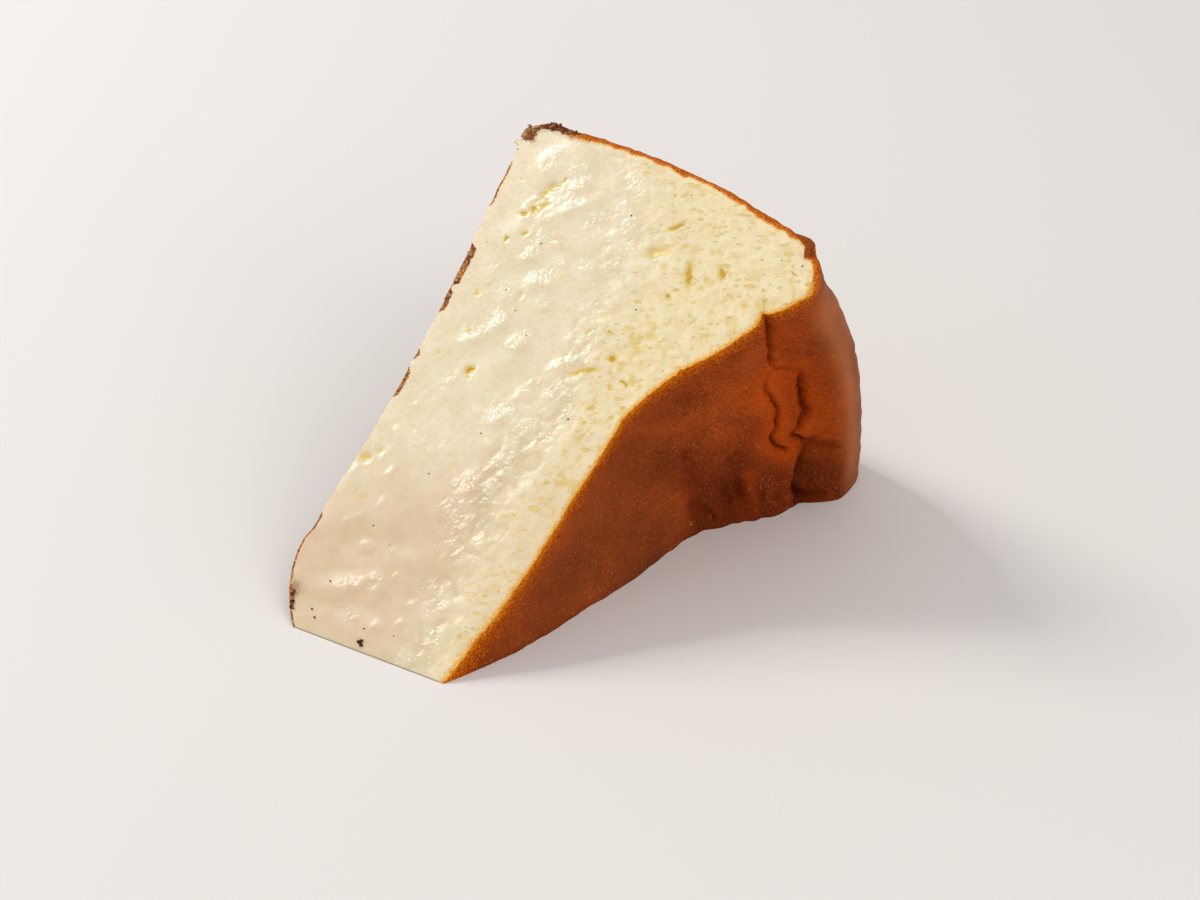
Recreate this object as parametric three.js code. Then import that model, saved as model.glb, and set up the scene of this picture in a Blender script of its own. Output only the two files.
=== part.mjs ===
// A slice of Basque cheesecake, lying on one of its two cut faces.
// Millimetres, +Z up. The tip of the slice points to -X and the outer side of the cake to +X.
// The browned top of the cake faces -Y, its dark base faces +Y, and the lower cut face lies flat on z = 0.

import * as THREE from "three";
import { mergeVertices } from "three/addons/utils/BufferGeometryUtils.js";

// The round cake that the slice was cut from
const CAKE_RADIUS = 102;
const SLICE_ANGLE = THREE.MathUtils.degToRad(35);

// Heights above the base of the cake at the tip, where the base is worn away
const TIP_TOP = 37.5;
const TIP_BASE = 6.8;
const TIP_WEAR_REACH = 13;
const TIP_WEAR_POWER = 1.7;
const BASE_HOLLOW = 2.1;

// The sunken top, as each cut face shows it: a shallow dish, a rise to the fold, then the roll of the rim
const LOWER = {
  dish: 10.4, dishReach: 23, rise: 11, riseStart: 58, riseEnd: 81,
  roll: 4.4, rollStart: 79, rollEnd: 86, crest: 88.8, taper: 4.5,
};
const UPPER = {
  dish: 7.2, dishReach: 26, rise: 14.6, riseStart: 51, riseEnd: 80,
  roll: 6.9, rollStart: 77.5, rollEnd: 86.2, crest: 86.2, taper: 9.6,
};
// The shape stays close to that of the upper cut face for the first part of the way down
const BLEND_POWER = 1.8;

// The rim and the outer side
const RIM_ROUND = 7;
const SIDE_TAPER_POWER = 2.7;
const FOOT_ROUND = 4;
const FOOT_INSET = 1.6;

// Cracks and soft wrinkles in the browned top. Each runs from one cut face to the other at these radii,
// listed at even steps from the lower face, and is deepest midway between the shares from and to.
const CRACKS = [
  { radii: [79, 78, 80, 78, 79, 79.5, 79, 76, 76.5, 78], from: -0.25, to: 1.2, width: 1.5, depth: 2.2 },
  { radii: [75, 75.2, 74.8, 74.2, 75.3, 74.6, 74.4, 74], from: 0.2, to: 0.74, width: 1.5, depth: 1.6 },
  { radii: [64.6, 63.9, 62.9, 61.8], from: -0.6, to: 0.6, width: 2.6, depth: 1.1 },
  { radii: [70.6, 70, 69.4], from: -0.3, to: 0.3, width: 2.2, depth: 0.9 },
];

// Uneven crust: broad waves, a rough foot and the creases that folded baking paper leaves in the side
const WAVE = { size: 15, depth: 0.7, seed: 11 };
const ROUGH = { size: 3.2, depth: 0.25, seed: 23 };
const RAGGED_FOOT = { size: 4, depth: 1.1, seed: 37 };
const RAGGED_FOOT_REACH = 5;
const PAPER_CREASES = { count: 5, width: 2.4, depth: 1, slant: 0.12 };

// Uneven upper cut face: lumps, fine crumb, and pores given by radius, height, half widths and depth
const LUMPS = { size: 7, depth: 0.55, seed: 41 };
const CRUMB = { size: 3, depth: 0.3, seed: 53 };
const CUT_EDGE_FADE = 3;
const PORES = [
  { r: 53.3, h: 13.1, alongR: 1.6, alongH: 1.6, depth: 1.5 },
  { r: 78.1, h: 7.1, alongR: 1.4, alongH: 1.2, depth: 1.2 },
  { r: 67, h: 6.6, alongR: 1.2, alongH: 1.6, depth: 1.1 },
  { r: 86.5, h: 9, alongR: 2.6, alongH: 2.2, depth: 1 },
  { r: 32.4, h: 3.6, alongR: 2.4, alongH: 1.8, depth: 0.8 },
  { r: 82, h: 42.4, alongR: 3.2, alongH: 1.4, depth: 1.2 },
  { r: 84.3, h: 47.7, alongR: 2.4, alongH: 1.3, depth: 1.1 },
  { r: 77.2, h: 40.4, alongR: 1.8, alongH: 1.8, depth: 1.1 },
  { r: 84.6, h: 35.7, alongR: 1.8, alongH: 2.8, depth: 0.9 },
];

// Mesh cells along the radius, up the height and across the angle. The outer part has the finer cells.
const CELLS = { along: 56, up: 30, across: 25 };
const COARSE_SHARE_OF_CELLS = 0.58;
const COARSE_SHARE_OF_LENGTH = 0.72;
const WELD = 1e-3;
const BOUNDARY_STEP = 1e-3;

const { clamp, lerp, smoothstep } = THREE.MathUtils;

// A repeatable value from -1 to 1 for each corner of a unit grid
function cornerValue(ix, iy, seed) {
  let n = Math.imul(ix, 374761393) ^ Math.imul(iy, 668265263) ^ Math.imul(seed, 1274126177);
  n = Math.imul(n ^ (n >>> 13), 1274126177);
  n ^= n >>> 16;
  return ((n >>> 0) / 0xffffffff) * 2 - 1;
}

// Smooth unevenness over two surface lengths, from -depth to depth
function uneven({ size, depth, seed }, a, b) {
  const x = a / size;
  const y = b / size;
  const ix = Math.floor(x);
  const iy = Math.floor(y);
  const fx = smoothstep(x - ix, 0, 1);
  const fy = smoothstep(y - iy, 0, 1);
  const near = lerp(cornerValue(ix, iy, seed), cornerValue(ix + 1, iy, seed), fx);
  const far = lerp(cornerValue(ix, iy + 1, seed), cornerValue(ix + 1, iy + 1, seed), fx);
  return depth * lerp(near, far, fy);
}

// A value listed at even steps, read at a share from 0 to 1
function readList(list, share) {
  const place = share * (list.length - 1);
  const index = Math.min(Math.floor(place), list.length - 2);
  return lerp(list[index], list[index + 1], smoothstep(place - index, 0, 1));
}

const bell = (x) => Math.exp(-x * x);
const profile = (name, across) => lerp(UPPER[name], LOWER[name], (1 - across) ** BLEND_POWER);
const arcLength = (radius, across) => radius * across * SLICE_ANGLE;

function topHeight(radius, across) {
  const dish = profile("dish", across) * (1 - Math.exp(-radius / profile("dishReach", across)));
  const climb = smoothstep(radius, profile("riseStart", across), profile("riseEnd", across));
  const turn = smoothstep(radius, profile("rollStart", across), profile("rollEnd", across));
  return TIP_TOP + dish + profile("rise", across) * climb + profile("roll", across) * turn;
}

function crackDepth({ radii, from, to, width, depth }, radius, across) {
  const share = clamp((across - from) / (to - from), 0, 1);
  return depth * Math.sin(Math.PI * share) * bell((radius - readList(radii, across)) / width);
}

function topRelief(radius, across) {
  const arc = arcLength(radius, across);
  const fromTip = smoothstep(radius, 0, WAVE.size);
  const cracks = CRACKS.reduce((sum, crack) => sum + crackDepth(crack, radius, across), 0);
  return fromTip * (uneven(WAVE, radius, arc) + uneven(ROUGH, radius, arc)) - cracks;
}

function sideRelief(height, across) {
  const arc = arcLength(CAKE_RADIUS, across);
  const spacing = arcLength(CAKE_RADIUS, 1) / PAPER_CREASES.count;
  let creases = 0;
  for (let i = 0; i < PAPER_CREASES.count; i += 1) {
    const middle = (i + 0.5) * spacing + PAPER_CREASES.slant * (i % 2 ? height : -height);
    creases += PAPER_CREASES.depth * bell((arc - middle) / PAPER_CREASES.width);
  }
  const foot = bell(height / RAGGED_FOOT_REACH);
  const rim = 1 - smoothstep(height, TIP_TOP, topHeight(profile("crest", across), across));
  return uneven(ROUGH, height, arc) + foot * uneven(RAGGED_FOOT, height, arc) - rim * creases;
}

function baseRelief(radius, across) {
  const arc = arcLength(radius, across);
  const foot = bell((CAKE_RADIUS - radius) / RAGGED_FOOT_REACH);
  const fromTip = smoothstep(radius, 0, WAVE.size);
  return fromTip * uneven(ROUGH, radius, arc) + foot * uneven(RAGGED_FOOT, radius, arc);
}

// The four smooth borders of the slice's section at one angle, each as a point (radius, height)
function smoothTop(along, across) {
  const radius = along * profile("crest", across);
  return new THREE.Vector2(radius, topHeight(radius, across));
}

function smoothSide(up, across) {
  const crest = profile("crest", across);
  const crestHeight = topHeight(crest, across);
  const height = up * crestHeight;
  const taper = profile("taper", across);
  const inRim = clamp((height - crestHeight) / RIM_ROUND + 1, 0, 1);
  const rim = (CAKE_RADIUS - taper - crest) * (1 - Math.sqrt(1 - inRim * inRim));
  const inFoot = clamp(1 - height / FOOT_ROUND, 0, 1);
  const radius = CAKE_RADIUS - taper * up ** SIDE_TAPER_POWER - rim - FOOT_INSET * inFoot * inFoot;
  return new THREE.Vector2(radius, height);
}

function smoothBase(along, across) {
  const radius = along * smoothSide(0, across).x;
  const wear = TIP_BASE * clamp(1 - radius / TIP_WEAR_REACH, 0, 1) ** TIP_WEAR_POWER;
  return new THREE.Vector2(radius, wear + BASE_HOLLOW * Math.sin(Math.PI * along) ** 2);
}

const tipLine = (up) => new THREE.Vector2(0, lerp(TIP_BASE, TIP_TOP, up));

// A smooth border pushed out along its own normal. turn is 1 where the food lies on the right of its run.
function pushedOut(border, share, across, amount, turn) {
  const before = border(Math.max(share - BOUNDARY_STEP, 0), across);
  const after = border(Math.min(share + BOUNDARY_STEP, 1), across);
  const run = after.sub(before).normalize();
  const normal = new THREE.Vector2(-run.y, run.x).multiplyScalar(turn);
  return border(share, across).addScaledVector(normal, amount);
}

function topBorder(along, across) {
  return pushedOut(smoothTop, along, across, topRelief(smoothTop(along, across).x, across), 1);
}

function baseBorder(along, across) {
  return pushedOut(smoothBase, along, across, baseRelief(smoothBase(along, across).x, across), -1);
}

// The side meets the displaced base and top at its two ends
function sideBorder(up, across) {
  const side = pushedOut(smoothSide, up, across, sideRelief(smoothSide(up, across).y, across), -1);
  const crestHeight = smoothSide(1, across).y;
  const foot = pushedOut(smoothSide, 0, across, sideRelief(0, across), -1);
  const crest = pushedOut(smoothSide, 1, across, sideRelief(crestHeight, across), -1);
  const low = baseBorder(1, across).sub(foot);
  const high = topBorder(1, across).sub(crest);
  const lowShare = 1 - smoothstep(up, 0, FOOT_ROUND / crestHeight);
  const highShare = smoothstep(up, 1 - RIM_ROUND / crestHeight, 1);
  return side.addScaledVector(low, lowShare).addScaledVector(high, highShare);
}

// A point of the section, blended from its four borders
function sectionPoint(along, up, across) {
  const point = baseBorder(along, across).multiplyScalar(1 - up);
  point.addScaledVector(topBorder(along, across), up);
  point.addScaledVector(tipLine(up), 1 - along);
  point.addScaledVector(sideBorder(up, across), along);
  point.addScaledVector(tipLine(0), -(1 - along) * (1 - up));
  point.addScaledVector(tipLine(1), -(1 - along) * up);
  point.addScaledVector(baseBorder(1, across), -along * (1 - up));
  point.addScaledVector(topBorder(1, across), -along * up);
  return point;
}

// How far the upper cut face stands off its plane at a point of the section
function cutRelief(radius, height, along, up) {
  const toEdge = Math.min(up, 1 - up) * topHeight(radius, 1);
  const toSide = (1 - along) * CAKE_RADIUS;
  const fade = smoothstep(Math.min(toEdge, toSide), 0, CUT_EDGE_FADE) * smoothstep(radius, 0, 2 * WAVE.size);
  let pores = 0;
  for (const { r, h, alongR, alongH, depth } of PORES) {
    pores += depth * bell(Math.hypot((radius - r) / alongR, (height - h) / alongH));
  }
  return fade * (uneven(LUMPS, radius, height) + uneven(CRUMB, radius, height)) - pores;
}

function spread(share) {
  if (share < COARSE_SHARE_OF_CELLS) {
    return (share / COARSE_SHARE_OF_CELLS) * COARSE_SHARE_OF_LENGTH;
  }
  const rest = (share - COARSE_SHARE_OF_CELLS) / (1 - COARSE_SHARE_OF_CELLS);
  return lerp(COARSE_SHARE_OF_LENGTH, 1, rest);
}

function slicePoint(along, up, across) {
  const { x: radius, y: height } = sectionPoint(along, up, across);
  const angle = across * SLICE_ANGLE;
  const point = new THREE.Vector3(radius * Math.cos(angle), -height, radius * Math.sin(angle));
  if (across === 1) {
    const normal = new THREE.Vector3(-Math.sin(angle), 0, Math.cos(angle));
    point.addScaledVector(normal, cutRelief(radius, height, along, up));
  }
  return point;
}

// The lower cut face is flat, so its outline is enough to fill it
function fillLowerFace(positions) {
  const outline = [];
  for (let i = 0; i < CELLS.along; i += 1) outline.push(slicePoint(spread(i / CELLS.along), 0, 0));
  for (let i = 0; i < CELLS.up; i += 1) outline.push(slicePoint(1, i / CELLS.up, 0));
  for (let i = CELLS.along; i > 0; i -= 1) outline.push(slicePoint(spread(i / CELLS.along), 1, 0));
  for (let i = CELLS.up; i > 0; i -= 1) outline.push(slicePoint(0, i / CELLS.up, 0));
  const flat = outline.map((point) => new THREE.Vector2(point.x, point.y));
  for (const [a, b, c] of THREE.ShapeUtils.triangulateShape(flat, [])) {
    for (const corner of [a, c, b]) positions.push(...outline[corner].toArray());
  }
}

// A box of cells bent into the slice. The box's face at across = 0 and the faces that shrink to the tip's
// line are left out, and the flat lower face closes the mesh.
function sliceGeometry() {
  const box = new THREE.BoxGeometry(1, 1, 1, CELLS.along, CELLS.up, CELLS.across);
  const corner = box.getAttribute("position");
  const positions = [];
  const share = (middled, cells) => Math.round((middled + 0.5) * cells) / cells;
  const shares = (index) => [
    share(corner.getX(index), CELLS.along),
    share(corner.getY(index), CELLS.up),
    share(corner.getZ(index), CELLS.across),
  ];
  for (let i = 0; i < box.index.count; i += 3) {
    const cellShares = [0, 2, 1].map((k) => shares(box.index.getX(i + k)));
    const onLowerFace = cellShares.every(([, , across]) => across === 0);
    const onTip = cellShares.filter(([along]) => along === 0);
    const heightsAtTip = new Set(onTip.map(([, up]) => up));
    if (onLowerFace || heightsAtTip.size < onTip.length) continue;
    for (const [along, up, across] of cellShares) {
      positions.push(...slicePoint(spread(along), up, across).toArray());
    }
  }
  fillLowerFace(positions);
  const geometry = new THREE.BufferGeometry();
  geometry.setAttribute("position", new THREE.Float32BufferAttribute(positions, 3));
  return mergeVertices(geometry, WELD);
}

// The origin is under the middle of the slice, on the surface that it lies on
function standOnOrigin(geometry) {
  geometry.computeBoundingBox();
  const middle = geometry.boundingBox.getCenter(new THREE.Vector3());
  geometry.translate(-middle.x, -middle.y, -geometry.boundingBox.min.z);
  geometry.computeVertexNormals();
  return geometry;
}

const cheesecake = new THREE.MeshStandardMaterial({ color: 0xefdfb8, roughness: 0.5, metalness: 0 });

const slice = new THREE.Mesh(standOnOrigin(sliceGeometry()), cheesecake);
slice.name = "cheesecake_slice";

const part = new THREE.Group();
part.add(slice);

export default part;
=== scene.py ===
import math

import bmesh
import bpy
import numpy as np
from mathutils import Matrix, Vector


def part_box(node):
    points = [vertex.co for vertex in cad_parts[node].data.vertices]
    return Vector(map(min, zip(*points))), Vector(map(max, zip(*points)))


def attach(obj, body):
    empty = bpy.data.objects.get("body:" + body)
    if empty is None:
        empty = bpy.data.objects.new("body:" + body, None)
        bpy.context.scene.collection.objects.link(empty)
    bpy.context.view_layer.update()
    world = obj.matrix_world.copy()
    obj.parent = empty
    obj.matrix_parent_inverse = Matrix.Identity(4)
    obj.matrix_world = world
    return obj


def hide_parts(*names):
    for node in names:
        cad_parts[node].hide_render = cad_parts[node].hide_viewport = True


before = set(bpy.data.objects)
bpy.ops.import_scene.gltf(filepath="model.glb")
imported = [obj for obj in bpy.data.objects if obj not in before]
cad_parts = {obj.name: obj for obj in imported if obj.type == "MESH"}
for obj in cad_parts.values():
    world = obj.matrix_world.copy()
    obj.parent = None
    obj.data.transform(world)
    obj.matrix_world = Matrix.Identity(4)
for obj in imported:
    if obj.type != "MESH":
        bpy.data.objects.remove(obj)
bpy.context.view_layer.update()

# Sizes are in millimetres until a mesh is made, and MM turns them into metres. Unevenness is size, depth and
# seed. A pair named FADE holds the values where something starts and where it is whole.
MM = 0.001
NODE = "cheesecake_slice"

# The round cake that the slice was cut from, as in the solid
CAKE_RADIUS = 102.0
SLICE_ANGLE = math.radians(35.0)
TIP_TOP = 37.5
TIP_BASE = 6.8
TIP_WEAR_REACH = 13.0
TIP_WEAR_POWER = 1.7
TIP_FADE = (0.0, 15.0)
BASE_HOLLOW = 2.1
LOWER = dict(dish=10.4, dish_reach=23.0, rise=11.0, rise_start=58.0, rise_end=81.0,
             roll=4.4, roll_start=79.0, roll_end=86.0, crest=88.8, taper=4.5)
UPPER = dict(dish=7.2, dish_reach=26.0, rise=14.6, rise_start=51.0, rise_end=80.0,
             roll=6.9, roll_start=77.5, roll_end=86.2, crest=86.2, taper=9.6)
BLEND_POWER = 1.8
RIM_ROUND = 7.0
SIDE_TAPER_POWER = 2.7
FOOT_ROUND = 4.0
FOOT_INSET = 1.6

# Cracks of the browned top. A route is radius and share of the way from the lower cut face.
UPPER_FOLD = [(76.8, 0.74), (76.8, 0.78), (77.4, 0.85), (78.0, 0.90), (78.5, 0.966), (78.7, 1.04)]
JOG = [(76.8, 0.74), (77.3, 0.695), (78.8, 0.652), (80.0, 0.626)]
MIDDLE_FOLD = [(80.0, 0.626), (80.5, 0.591), (80.3, 0.538), (79.9, 0.489), (80.2, 0.432), (80.3, 0.406),
               (79.7, 0.376), (79.3, 0.34), (78.2, 0.325)]
JUNCTION = [(78.2, 0.325), (79.5, 0.292), (80.8, 0.263)]
VALLEY = [(80.8, 0.263), (82.8, 0.235), (85.5, 0.225)]
LOWER_FOLD = [(80.0, 0.0), (79.9, 0.011), (78.9, 0.052), (78.2, 0.10), (78.9, 0.142), (79.3, 0.183),
              (80.2, 0.223), (80.8, 0.263)]
FLAP = [(76.9, 0.70), (75.9, 0.685), (74.8, 0.671), (74.4, 0.642), (74.7, 0.601), (75.6, 0.525),
        (76.2, 0.492), (75.5, 0.446), (75.2, 0.408), (74.2, 0.378), (74.0, 0.359), (75.1, 0.31),
        (76.6, 0.276)]
# Route, half widths towards the tip and towards the rim, width of the line of painted shade along the bottom,
# depth, share of the depth at the first end, share of the route until the depth is whole, share of the depth
# at the last end
CRACKS = [
    (UPPER_FOLD, 0.7, 0.6, 0.28, 1.7, 0.8, 0.3, 0.6),
    (JOG, 0.9, 0.9, 0.3, 0.6, 1.0, 0.3, 0.7),
    (MIDDLE_FOLD, 1.1, 0.6, 0.28, 1.9, 0.3, 0.3, 0.8),
    (JUNCTION, 0.8, 0.8, 0.32, 1.8, 0.8, 0.3, 1.0),
    (VALLEY, 1.8, 1.8, 1.2, 0.8, 1.0, 0.3, 0.0),
    (LOWER_FOLD, 0.7, 2.9, 0.75, 3.6, 0.15, 0.16, 0.45),
    (FLAP, 0.9, 0.6, 0.28, 1.5, 0.2, 0.62, 1.0),
]
CRACK_WIDE_SHARE = 0.55
CRACK_LAST_FADE = (0.6, 1.0)
CRACK_FLANK_FADE = (-0.3, 0.3)
CRACK_WOBBLE = [(1.5, 0.26, 61), (0.6, 0.16, 67)]
# Grooves at the foot of the rise and a shallow hollow along the upper edge: route, width, depth. A depth
# below zero is a ridge.
WRINKLES = [
    ([(63.6, -0.10), (62.8, 0.076), (61.2, 0.262), (61.0, 0.422), (60.9, 0.53)], 1.3, 1.3),
    ([(67.1, -0.10), (66.8, 0.073), (66.1, 0.192), (65.7, 0.28)], 0.8, 1.2),
    ([(69.2, -0.02), (68.7, 0.14), (68.2, 0.24), (68.0, 0.32)], 0.9, 1.0),
    ([(72.4, -0.05), (71.5, 0.10), (71.2, 0.22)], 0.5, 0.7),
    ([(70.9, -0.10), (70.2, 0.08), (70.0, 0.20), (69.9, 0.26)], 1.0, -0.7),
    ([(75.6, 0.02), (74.6, 0.06), (72.6, 0.10)], 0.6, 0.8),
    ([(64.3, 1.02), (64.3, 0.95)], 0.5, 0.3),
    ([(78.8, -0.10), (78.0, 0.0), (77.4, 0.06)], 2.1, 2.2),
    ([(60.8, 0.44), (60.5, 0.49), (60.7, 0.54)], 0.5, 0.7),
    ([(64.4, 0.05), (63.4, 0.092), (62.2, 0.147), (61.0, 0.259)], 0.55, 0.6),
    ([(68.4, 0.12), (68.5, 0.173), (68.2, 0.229)], 0.5, 0.6),
    ([(66.9, 0.322), (67.8, 0.368), (68.8, 0.411)], 0.4, 0.4),
    ([(65.4, 0.17), (65.2, 0.258), (65.0, 0.33)], 0.45, -0.35),
    ([(74.5, 1.0), (56.0, 1.0)], 4.0, 1.0),
]
WRINKLE_LAST_FADE = (1.0, 0.5)
# Share of a wrinkle that is left where it meets the lower cut face
WRINKLE_END_SHARE, WRINKLE_END_FADE = 0.35, (0.0, 0.07)
WRINKLE_WOBBLE = (3.4, 0.7, 263)
# Share of a wrinkle's depth that is painted as shade in its groove
WRINKLE_PAINTED_SHADE = 0.35
# The rim bulges in the lower half and draws in towards both cut faces: share of the way, width, depth
RIM_SWELLS = [(0.36, 0.22, 0.8), (0.88, 0.13, -1.3), (0.0, 0.07, -0.3)]
RIM_SWELL_FADE = (30.0, 50.0)
RIM_SWELL_REACH = 7.0

# Uneven crust
WAVE = (15.0, 0.7, 11)
CRUST_ROUGH, SKIN_GRAIN = (3.2, 0.16, 23), (1.3, 0.12, 29)
RAGGED_FOOT, RAGGED_FOOT_REACH = (4.0, 1.1, 37), 5.0
RAGGED_BASE, RAGGED_BASE_FADE = (2.1, 0.22, 71), (0.9, 1.0)
RAGGED_SIDE, RAGGED_SIDE_FADE = (0.7, 0.09, 73), (0.93, 1.0)
# A spur of crust under the base at the upper cut face
SPUR_RADIUS, SPUR_HALF_WIDTH = 96.6, 0.5
SPUR_LENGTH, SPUR_FADE = 1.7, (0.96, 1.0)
# A knob of crust and the nick beside it on the rim's edge at the upper cut face: height, half width, depth
RIM_KNOBS = [(59.4, 1.7, 0.7), (61.0, 0.7, 0.3), (62.2, 0.5, -0.55)]
# Creases that folded paper left in the side
CREASE_COUNT, CREASE_SLANT = 5, 0.12
CREASE_WIDTH, CREASE_DEPTH = 2.4, 1.0

# Zones of the cut faces: set curd along the top and rim, a lumpy cream below it, a molten middle at the tip
CURD_LEVEL, CURD_FADE = 34.5, (-4.0, 4.0)
CURD_RIM_START, CURD_RIM_DROP = 85.0, 0.048
TIP_CURD_RISE, TIP_CURD_FADE = 2.0, (35.0, 8.0)
CLOT_DROP, CLOT_BAND = 2.5, 5.0
TIP_CLOT_DROP, TIP_CLOT_FADE = 3.5, (60.0, 30.0)
CLOT_LOSS, CLOT_LOSS_FADE = 0.5, (55.0, 75.0)
YELLOW_FADE, YELLOW_CLOT_LOSS = (-11.0, 9.0), 0.35
MOLTEN_TURN, MOLTEN_FADE = 151.0, (-30.0, -13.0)
MOLTEN_LOSS, MOLTEN_LOSS_FADE = 0.65, (24.0, 31.0)
ZONE_WOBBLE, ZONE_FRAY = (9.0, 3.0, 83), (2.6, 2.2, 89)

# Larger pores of the upper cut face: radius, height, half length and width, degrees up from the radius, tint.
# A tint near 1 is a deep yellow-tan pit, a low one a soft stain.
PORES = [
    (89.9, 35.7, 2.1, 0.6, 40, 0.8), (84.4, 34.9, 2.6, 1.3, 55, 0.6), (86.7, 39.2, 0.6, 0.4, 20, 0.6),
    (81.9, 42.2, 3.1, 0.75, 155, 0.85), (84.0, 47.6, 1.8, 0.7, 150, 0.85), (81.8, 46.3, 1.3, 0.5, 105, 0.45),
    (77.1, 40.6, 0.7, 0.6, 70, 1.0), (78.5, 41.3, 0.7, 0.6, 70, 0.6), (87.7, 59.6, 0.8, 0.25, 105, 0.9),
    (87.0, 44.8, 0.8, 0.4, 72, 0.45), (91.6, 42.5, 0.6, 0.4, 72, 0.45), (93.1, 43.3, 0.4, 0.3, 72, 0.5),
    (95.1, 41.9, 0.5, 0.3, 110, 0.5), (93.7, 51.9, 0.4, 0.3, 72, 0.5), (92.5, 47.0, 0.5, 0.35, 110, 0.45),
    (75.5, 41.9, 0.9, 0.5, 72, 0.4), (72.3, 38.9, 0.7, 0.4, 150, 0.6), (76.8, 49.7, 0.9, 0.3, 150, 0.55),
    (74.1, 47.1, 1.0, 0.25, 20, 0.65), (72.3, 43.1, 0.8, 0.5, 60, 0.4), (84.4, 52.9, 1.0, 0.5, 72, 0.4),
    (87.5, 48.5, 0.4, 0.3, 20, 0.5), (87.1, 42.0, 0.4, 0.3, 72, 0.5), (92.1, 34.0, 1.0, 0.5, 50, 0.4),
    (63.5, 36.5, 1.2, 0.75, 72, 0.9), (59.6, 33.2, 3.2, 0.6, 66, 0.75), (59.7, 40.8, 1.5, 0.3, 120, 1.0),
    (58.2, 38.8, 0.6, 0.35, 120, 0.8), (54.0, 37.6, 0.8, 0.7, 72, 0.7), (53.2, 41.9, 0.5, 0.45, 72, 0.7),
    (59.9, 43.9, 0.7, 0.25, 20, 0.6), (50.7, 37.6, 0.4, 0.35, 72, 0.75), (48.8, 38.6, 0.6, 0.3, 150, 0.75),
    (68.0, 39.4, 1.0, 0.7, 40, 0.5), (66.1, 37.8, 0.7, 0.35, 150, 0.5), (66.4, 30.0, 0.45, 0.4, 72, 0.6),
    (69.8, 41.7, 0.4, 0.3, 110, 0.6), (60.8, 35.8, 0.8, 0.4, 40, 0.5), (31.6, 34.2, 0.5, 0.35, 72, 0.7),
    (38.5, 36.6, 0.7, 0.35, 40, 0.6), (45.1, 37.0, 0.8, 0.4, 40, 0.6), (29.3, 36.8, 0.4, 0.3, 72, 0.7),
    (78.3, 6.8, 0.7, 0.4, 150, 1.0), (80.3, 9.7, 0.6, 0.5, 72, 0.75), (67.3, 7.0, 0.9, 0.4, 110, 0.95),
    (69.2, 14.9, 0.9, 0.5, 150, 0.4), (53.4, 12.9, 1.15, 0.95, 72, 0.95), (52.2, 13.6, 0.5, 0.4, 150, 0.8),
    (32.4, 3.2, 1.1, 0.8, 72, 0.6), (34.4, 5.0, 0.8, 0.5, 72, 0.5),
    (84.2, 7.6, 0.8, 0.55, 72, 0.9), (85.3, 8.8, 0.8, 0.5, 150, 0.85), (86.4, 10.4, 1.3, 0.45, 72, 0.65),
    (88.6, 9.4, 1.0, 0.7, 72, 0.45), (92.0, 11.6, 0.8, 0.5, 30, 0.85), (90.3, 10.2, 1.4, 1.0, 60, 0.4),
]
# Small seeded pores: least and most radius, height, size, stretch and turn
SMALL_PORE_RANGES = [(4.0, 98.0), (2.0, 62.0), (0.2, 0.38), (1.1, 1.9), (40.0, 115.0)]
SMALL_PORE_COUNT, SMALL_PORE_SEED = 190, 97
SMALL_PORE_SHARE_IN_CREAM, SMALL_PORE_TINT = 0.15, 0.62
# Depth of a pore for each millimetre of its half width, the greatest depth, and the fade of its border
PORE_STEEPNESS, PORE_DEPTH, PORE_BORDER = 0.45, 0.5, (1.4, 0.4)
PORE_WARP_ALONG = [(0.9, 0.3, 131), (0.45, 0.16, 133)]
PORE_WARP_UP = [(0.9, 0.3, 137), (0.45, 0.16, 139)]
DIP_EDGE_FADE, DIP_TIP_FADE = (0.0, 1.0), (0.5, 3.0)

# Small shallow dashes of the curd
COARSE_PITS = dict(noise=(0.9, 1.0, 211), fade=(0.34, 0.95), turn=128.0, stretch=1.6)
FINE_PITS, FINE_PIT_SHARE = dict(noise=(0.65, 1.0, 223), fade=(0.25, 0.8), turn=20.0, stretch=1.4), 0.65
PIT_PATCHES, PIT_GROUND = dict(noise=(9.0, 1.0, 229), fade=(-0.5, 0.4)), 0.35
PIT_CURD_FADE = (0.0, 0.6)
PIT_RIM_LOSS, PIT_RIM_FADE = 0.5, (86.0, 92.0)
PIT_DEPTH, PIT_TINT = 0.2, 0.5
# The crumbly tan patch near the outer foot: radius, height, half widths
TAN_PATCH, TAN_BORDER, TAN_STRENGTH = (87.2, 9.6, 3.4, 2.0), (1.2, 0.5), 1.3

# Loose patches of wet ripples: radius, height, half width, strength
RIPPLE_PATCHES = [
    (94.5, 13.6, 2.0, 1.0), (91.5, 15.2, 2.0, 1.0), (86.8, 20.6, 3.4, 0.8), (80.4, 12.9, 2.2, 1.0),
    (77.1, 13.1, 1.8, 1.3), (73.5, 16.8, 2.3, 1.0), (76.9, 19.0, 1.4, 0.7), (64.0, 13.9, 2.1, 1.2),
    (60.1, 10.6, 2.2, 1.2), (61.3, 18.9, 2.1, 1.2), (58.8, 28.8, 2.0, 0.8), (96.0, 24.0, 3.0, 0.7),
    (47.8, 22.4, 2.6, 1.1), (46.5, 29.0, 2.0, 0.9), (38.8, 27.1, 1.9, 1.0), (33.9, 23.7, 2.3, 1.2),
    (28.9, 22.6, 2.0, 0.9), (25.4, 27.0, 2.8, 1.1), (24.6, 32.0, 2.0, 1.1), (14.8, 25.0, 1.7, 0.9),
    (9.8, 12.6, 1.9, 1.0), (12.4, 16.4, 1.4, 0.9), (6.2, 33.0, 1.9, 1.2), (5.8, 15.7, 1.4, 0.7),
]
RIPPLE_TURN, RIPPLE_STRETCH, RIPPLE_PATCH_LENGTH = 55.0, 0.8, 1.2
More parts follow.
